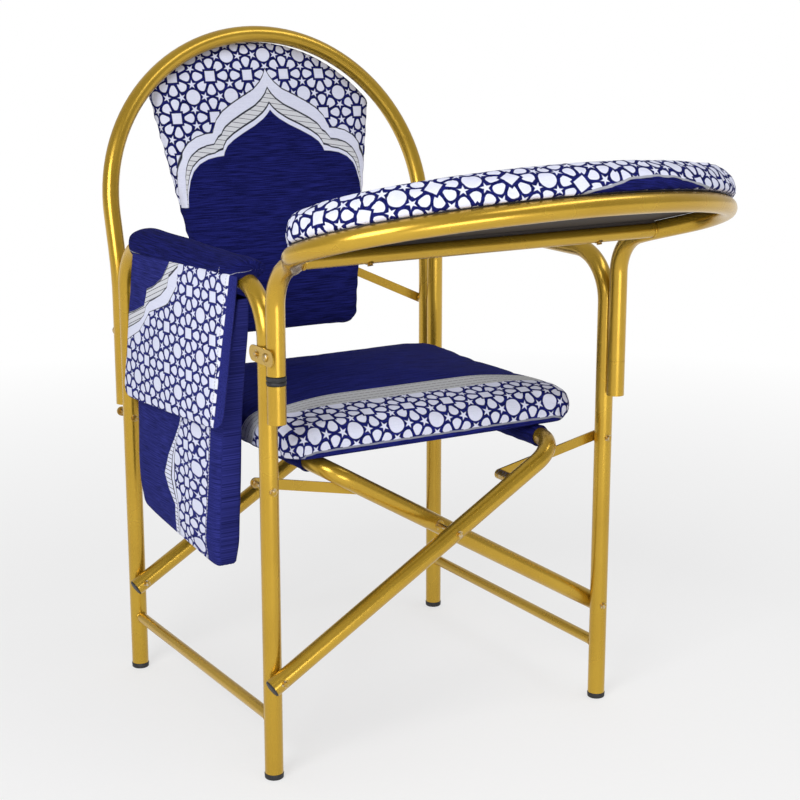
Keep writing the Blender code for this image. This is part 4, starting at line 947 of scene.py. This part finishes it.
# Left arm roll: a soft padded sleeve round the arm, wider than it is tall, with a cut front end and a pinched
# rear one. A pale line of stitches along its outer side holds the flap, and the bag is sewn on underneath.
# A station gives its place along the arm, its width and height as shares, and how far it rises.
pale_thread = (0.50, 0.51, 0.58, 1)
roll_wide, roll_tall, roll_girth, roll_steps = 0.0265, 0.0195, 0.023, 44
roll_crease, roll_stitch, roll_tack = 0.05, math.pi + 0.32, -0.150
roll_stations = [(-0.184, 0.86, 0.48, 0.0150), (-0.1825, 0.90, 0.56, 0.0145), (-0.174, 0.95, 0.72, 0.0130)]
roll_stations += [(-0.162, 0.98, 0.92, 0.0110), (-0.148, 1.0, 1.04, 0.0085)]
for share in [step / 24 for step in range(25)]:
    roll_stations.append((-0.130 + 0.262 * share, 1.0, 1.06 + 0.20 * share, 0.0070 - 0.0015 * share))
roll_stations += [(0.145, 0.99, 1.22, 0.0055), (0.155, 0.95, 1.12, 0.0055), (0.162, 0.86, 0.95, 0.005)]
roll_stations += [(0.1660, 0.70, 0.70, 0.005), (0.1680, 0.44, 0.40, 0.005)]


def stitches(aside, along, pitch, length, half_width=0.0006, soft=0.0002):
    """0 on a row of stitches and 1 elsewhere."""
    return abs(aside).over(half_width, soft).most((along % pitch).over(length, soft))


def squared(part, power):
    """A sine or cosine pushed out towards a square, the more so the smaller the power."""
    return math.copysign(abs(part) ** power, part)


def roll_colour(u, v, w, streak, thread):
    tack_low, tack_high = 0.066, 0.086
    row = stitches(v - roll_girth * roll_stitch, u, 0.0042, 0.0029)
    tack = stitches(u - roll_tack, v, 0.0040, 0.0024)
    tack = tack.most(1.0 - v.over(tack_low, 0.001)).most(v.over(tack_high, 0.001))
    return row.least(tack).blend(pale_thread, navy(streak, thread)), thread


shape = bmesh.new()
rings, places = [], []
for y, wide, tall, rise in roll_stations:
    ring = []
    for step in range(roll_steps):
        turn = 2 * math.pi * step / roll_steps
        c, s = math.cos(turn), math.sin(turn)
        crease = 1.0 + roll_crease * noise.noise(Vector((2.0 * c, 16.0 * y, 2.0 * s)))
        x = roll_wide * wide * crease * squared(c, 0.85)
        z = roll_tall * tall * crease * squared(s, 0.9)
        ring.append(shape.verts.new(at(x - leg_x, y, arm_height + rise + z)))
        places.append((y, roll_girth * turn, arm_height + z))
    rings.append(ring)
join_rings(shape, rings)
shape.faces.new(list(reversed(rings[0])))
shape.faces.new(rings[-1])
roll_cloth = cloth_material("arm_roll_cloth", roll_colour)
roll = add_piece("left_arm_roll", shape, roll_cloth, "left_frame", ["left_arm_cover"], 60.0)
lay_flat(roll, places)
smooth_once(roll)

# Side bag: a deep cloth pouch sewn up from panels, open at the top under the roll; it bellies out and its
# foot slopes. A strip of lattice with a wavy hatched edge runs down its outer face, beside a row of stitches.
# Its front, rear, outer and inner sides are given by height, and the strip's edges too, in mm.
# The bag and flap take a brighter, bluer copy of the cloth's navy: painted light for the light that falls
# straight on their side.
lit_navy_deep, lit_navy_bright = (0.010, 0.0120, 0.088, 1), (0.036, 0.042, 0.270, 1)
foot_front, foot_rear, bag_mouth = 0.258, 0.286, 0.641
bag_front = [(0.262, -0.106), (0.30, -0.113), (0.36, -0.117), (0.45, -0.125), (0.50, -0.134), (0.55, -0.147)]
bag_front += [(0.60, -0.164), (bag_mouth, -0.172)]
bag_rear = [(0.262, 0.150), (0.35, 0.156), (0.50, 0.158), (bag_mouth, 0.152)]
bag_sides = [(0.262, -0.288, -0.254), (0.29, -0.2930, -0.2490), (0.40, -0.2935, -0.2485)]
bag_sides += [(0.50, -0.2915, -0.2500), (0.58, -0.288, -0.254), (bag_mouth, -0.282, -0.260)]
strip_near = [(250, 14), (277, 9), (300, 3), (320, 2), (340, 9), (359, 16), (390, 14), (420, 1)]
strip_near += [(441, -11), (470, -22)]
strip_far = [(250, 30), (281, 23), (300, 18), (320, 16), (340, 39), (359, 52), (390, 35), (420, 9)]
strip_far += [(441, -6), (470, -17)]
bag_levels, bag_steps, bag_gather, bag_belly, bag_crease, foot_crease = 28, 88, 1.15, 0.07, 0.0018, 0.0020


def bag_colour(u, v, w, streak, thread):
    # The lighter navy here is painted light on the bag's lit side.
    deep, pale = navy(streak, thread, lit_navy_deep, lit_navy_bright), white(streak, thread)
    lines = lattice(0.90 * u, 1.18 * v, du=-0.0575, dv=0.397)
    near, far = drawn_line(v, strip_near), drawn_line(v, strip_far)
    strip = (u - near) / (far - near).most(0.001)
    hatch_from, inner_line, hatch_pitch = 0.35, 0.02, 0.0062
    hatch = (v % hatch_pitch).over(0.0010, 0.0002)
    banded = strip.over(hatch_from, 0.03).blend(pale, hatch.blend(ink, pale))
    banded = abs(strip - hatch_from).least(abs(strip - inner_line)).over(0.05, 0.02).blend(ink, banded)
    face = strip.over(0.0, 0.02).blend(lines.blend(deep, pale), banded)
    face = strip.over(1.0, 0.02).blend(face, deep)
    seam_y, seam_height, seam_slope, stitch_in = -0.100, 0.4545, 0.122, 0.002
    seam = u - seam_y - seam_slope * (seam_height - v)
    face = seam.over(0.0, 0.0005).blend(deep, face)
    face = stitches(seam + stitch_in, v, 0.005, 0.0036, 0.0008, 0.0003).blend(pale_thread, face)
    outer = 1.0 - w.over(0.5, 0.1)
    return outer.blend(deep, face), 0.2 * lines * outer


shape = bmesh.new()
rings, places = [], []
side_heights, side_outer, side_inner = zip(*bag_sides)
for level in range(bag_levels + 1):
    share = level / bag_levels
    ring = []
    for step in range(bag_steps):
        turn = 2 * math.pi * step / bag_steps
        c, s = math.cos(turn), math.sin(turn)
        along, thick = squared(c, 0.22), squared(s, 0.26)
        foot = foot_front + (foot_rear - foot_front) * (along + 1) / 2
        z = foot + (bag_mouth - foot) * share ** bag_gather
        front, rear = np.interp(z, *zip(*bag_front)), np.interp(z, *zip(*bag_rear))
        y = (front + rear) / 2 + along * (rear - front) / 2
        drop = z - foot + foot_front
        outer, inner = np.interp(drop, side_heights, side_outer), np.interp(drop, side_heights, side_inner)
        belly = 1.0 - bag_belly * abs(along) ** 4
        x = (outer + inner) / 2 + thick * belly * (inner - outer) / 2
        x += bag_crease * noise.noise(Vector((3.0 * x, 17.0 * y, 15.0 * z))) * (1.0 - share ** 3)
        z += foot_crease * noise.noise(Vector((9.0 * x, 14.0 * y, 14.0 * z))) * (1.0 - share)
        ring.append(shape.verts.new(at(x, y, z)))
        places.append((y, z, 0.0 if s < -0.2 else 1.0))
    rings.append(ring)
join_rings(shape, rings)
shape.faces.new(list(reversed(rings[0])))
bag_cloth = cloth_material("bag_cloth", bag_colour)
bag = add_piece("side_bag_pouch", shape, bag_cloth, "left_frame", ["side_bag"], 70.0)
lay_flat(bag, places)
set_up(bag.modifiers.new("cloth_thickness", "SOLIDIFY"), thickness=0.002, offset=-1.0)
smooth_once(bag)

# Bag flap: a flat pocket that hangs from the roll's stitches over the bag, lattice with a navy corner behind
# the cloth's white and hatched border. A navy gusset closes its front, and its lower rear corner is rounded.
flap_high = [Vector((-0.2960, -0.176, 0.676)), Vector((-0.2960, 0.138, 0.662))]
flap_hem = [Vector((-0.3080, -0.140, 0.466)), Vector((-0.3080, 0.160, 0.451))]
flap_long, flap_drop, flap_round, flap_pinch, flap_tuck = 0.30, 0.21, 0.024, 0.006, 0.0012
flap_thick, hem_thick, gusset_thick, gusset_forward = 0.004, 0.003, 0.010, 0.011
flap_belly, flap_crease = 0.0035, 0.0016
corner_inner = [(-40, 700), (4, 698), (7, 664), (27, 641), (58, 625), (78, 619), (79.5, 610), (85, 595)]
corner_inner += [(123, 581), (147, 575), (170, 573)]
corner_outer = [(-40, 700), (-26, 698), (-24, 636), (1, 608), (65, 588), (71, 582), (77, 576), (101, 555)]
corner_outer += [(145, 536), (170, 530)]


def flap_colour(u, v, w, streak, thread):
    hatch_from, inner_line, rim_line, hatch_pitch, hatch_slope = 0.45, 0.01, 0.97, 0.0064, 0.35
    # The lighter navy here is painted light on the flap's lit side.
    deep, pale = navy(streak, thread, lit_navy_deep, lit_navy_bright), white(streak, thread)
    lines = lattice(0.894 * u, 1.13 * v, du=-0.0317, dv=0.6235, turn=-0.05)
    inner, outer = drawn_line(u, corner_inner), drawn_line(u, corner_outer)
    share = (v - outer) / (inner - outer).most(0.001)
    hatch = ((v + hatch_slope * u) % hatch_pitch).over(0.0009, 0.0002)
    banded = share.over(hatch_from, 0.02).blend(pale, hatch.blend(ink, (0.66, 0.67, 0.72, 1)))
    rule = abs(share - hatch_from).least(abs(share - inner_line)).least(abs(share - rim_line))
    banded = rule.over(0.022, 0.010).blend(ink, banded)
    face = share.over(0.0, 0.01).blend(lines.blend(deep, pale), banded)
    face = share.over(1.0, 0.01).blend(face, deep)
    front_slope, stitch_in = 0.1715, 0.003
    front = u - flap_high[0].y - front_slope * (flap_high[0].z - v)
    face = stitches(front - stitch_in, v, 0.0046, 0.0032).blend(pale_thread, face)
    outward = 1.0 - w.over(0.08, 0.02)
    return outward.blend(deep, face), 0.2 * lines * outward


shape = bmesh.new()
rows, columns = 26, 38
grids, places = [], []
for face in (0, 1):
    grid = []
    for row in range(rows + 1):
        line = []
        for column in range(columns + 1):
            along, down = column / columns, row / rows
            top = flap_high[0].lerp(flap_high[1], along)
            spot = top.lerp(flap_hem[0].lerp(flap_hem[1], along), down)
            reach, fall = (1 - along) * flap_long, (1 - down) * flap_drop
            if reach < flap_round and fall < flap_round:
                p, q = 1 - reach / flap_round, 1 - fall / flap_round
                spot.y -= flap_round * (p - p * math.sqrt(1 - q * q / 2))
                spot.z += flap_round * (q - q * math.sqrt(1 - p * p / 2))
            gusset = (1 - along) ** 3
            thick = flap_thick + gusset_thick * gusset + hem_thick * down
            pinch = 1 - math.exp(-min(reach, fall) / flap_pinch)
            spot.x -= flap_belly * math.sin(math.pi * along) * math.sin(0.9 * math.pi * down)
            spot.x -= flap_crease * noise.noise(Vector((0.0, 20.0 * spot.y, 20.0 * spot.z))) * down
            spot.x += thick * (0.5 + 0.5 * pinch) if face else flap_tuck * (1 - pinch)
            spot.y -= gusset_forward * gusset if face else 0.0
            line.append(shape.verts.new(at(*spot)))
            places.append((spot.y, spot.z, float(face)))
        grid.append(line)
    for upper, lower in zip(grid, grid[1:]):
        for here in range(columns):
            shape.faces.new((upper[here], upper[here + 1], lower[here + 1], lower[here]))
    grids.append(grid)
border = [(0, c) for c in range(columns)] + [(r, columns) for r in range(rows)]
border += [(rows, c) for c in range(columns, 0, -1)] + [(r, 0) for r in range(rows, 0, -1)]
edges = [[grid[r][c] for r, c in border + border[:1]] for grid in grids]
for here in range(len(border)):
    shape.faces.new((edges[0][here], edges[0][here + 1], edges[1][here + 1], edges[1][here]))
flap_cloth = cloth_material("flap_cloth", flap_colour)
flap = add_piece("bag_flap_pocket", shape, flap_cloth, "left_frame", ["bag_flap"], 50.0)
lay_flat(flap, places)
smooth_once(flap)
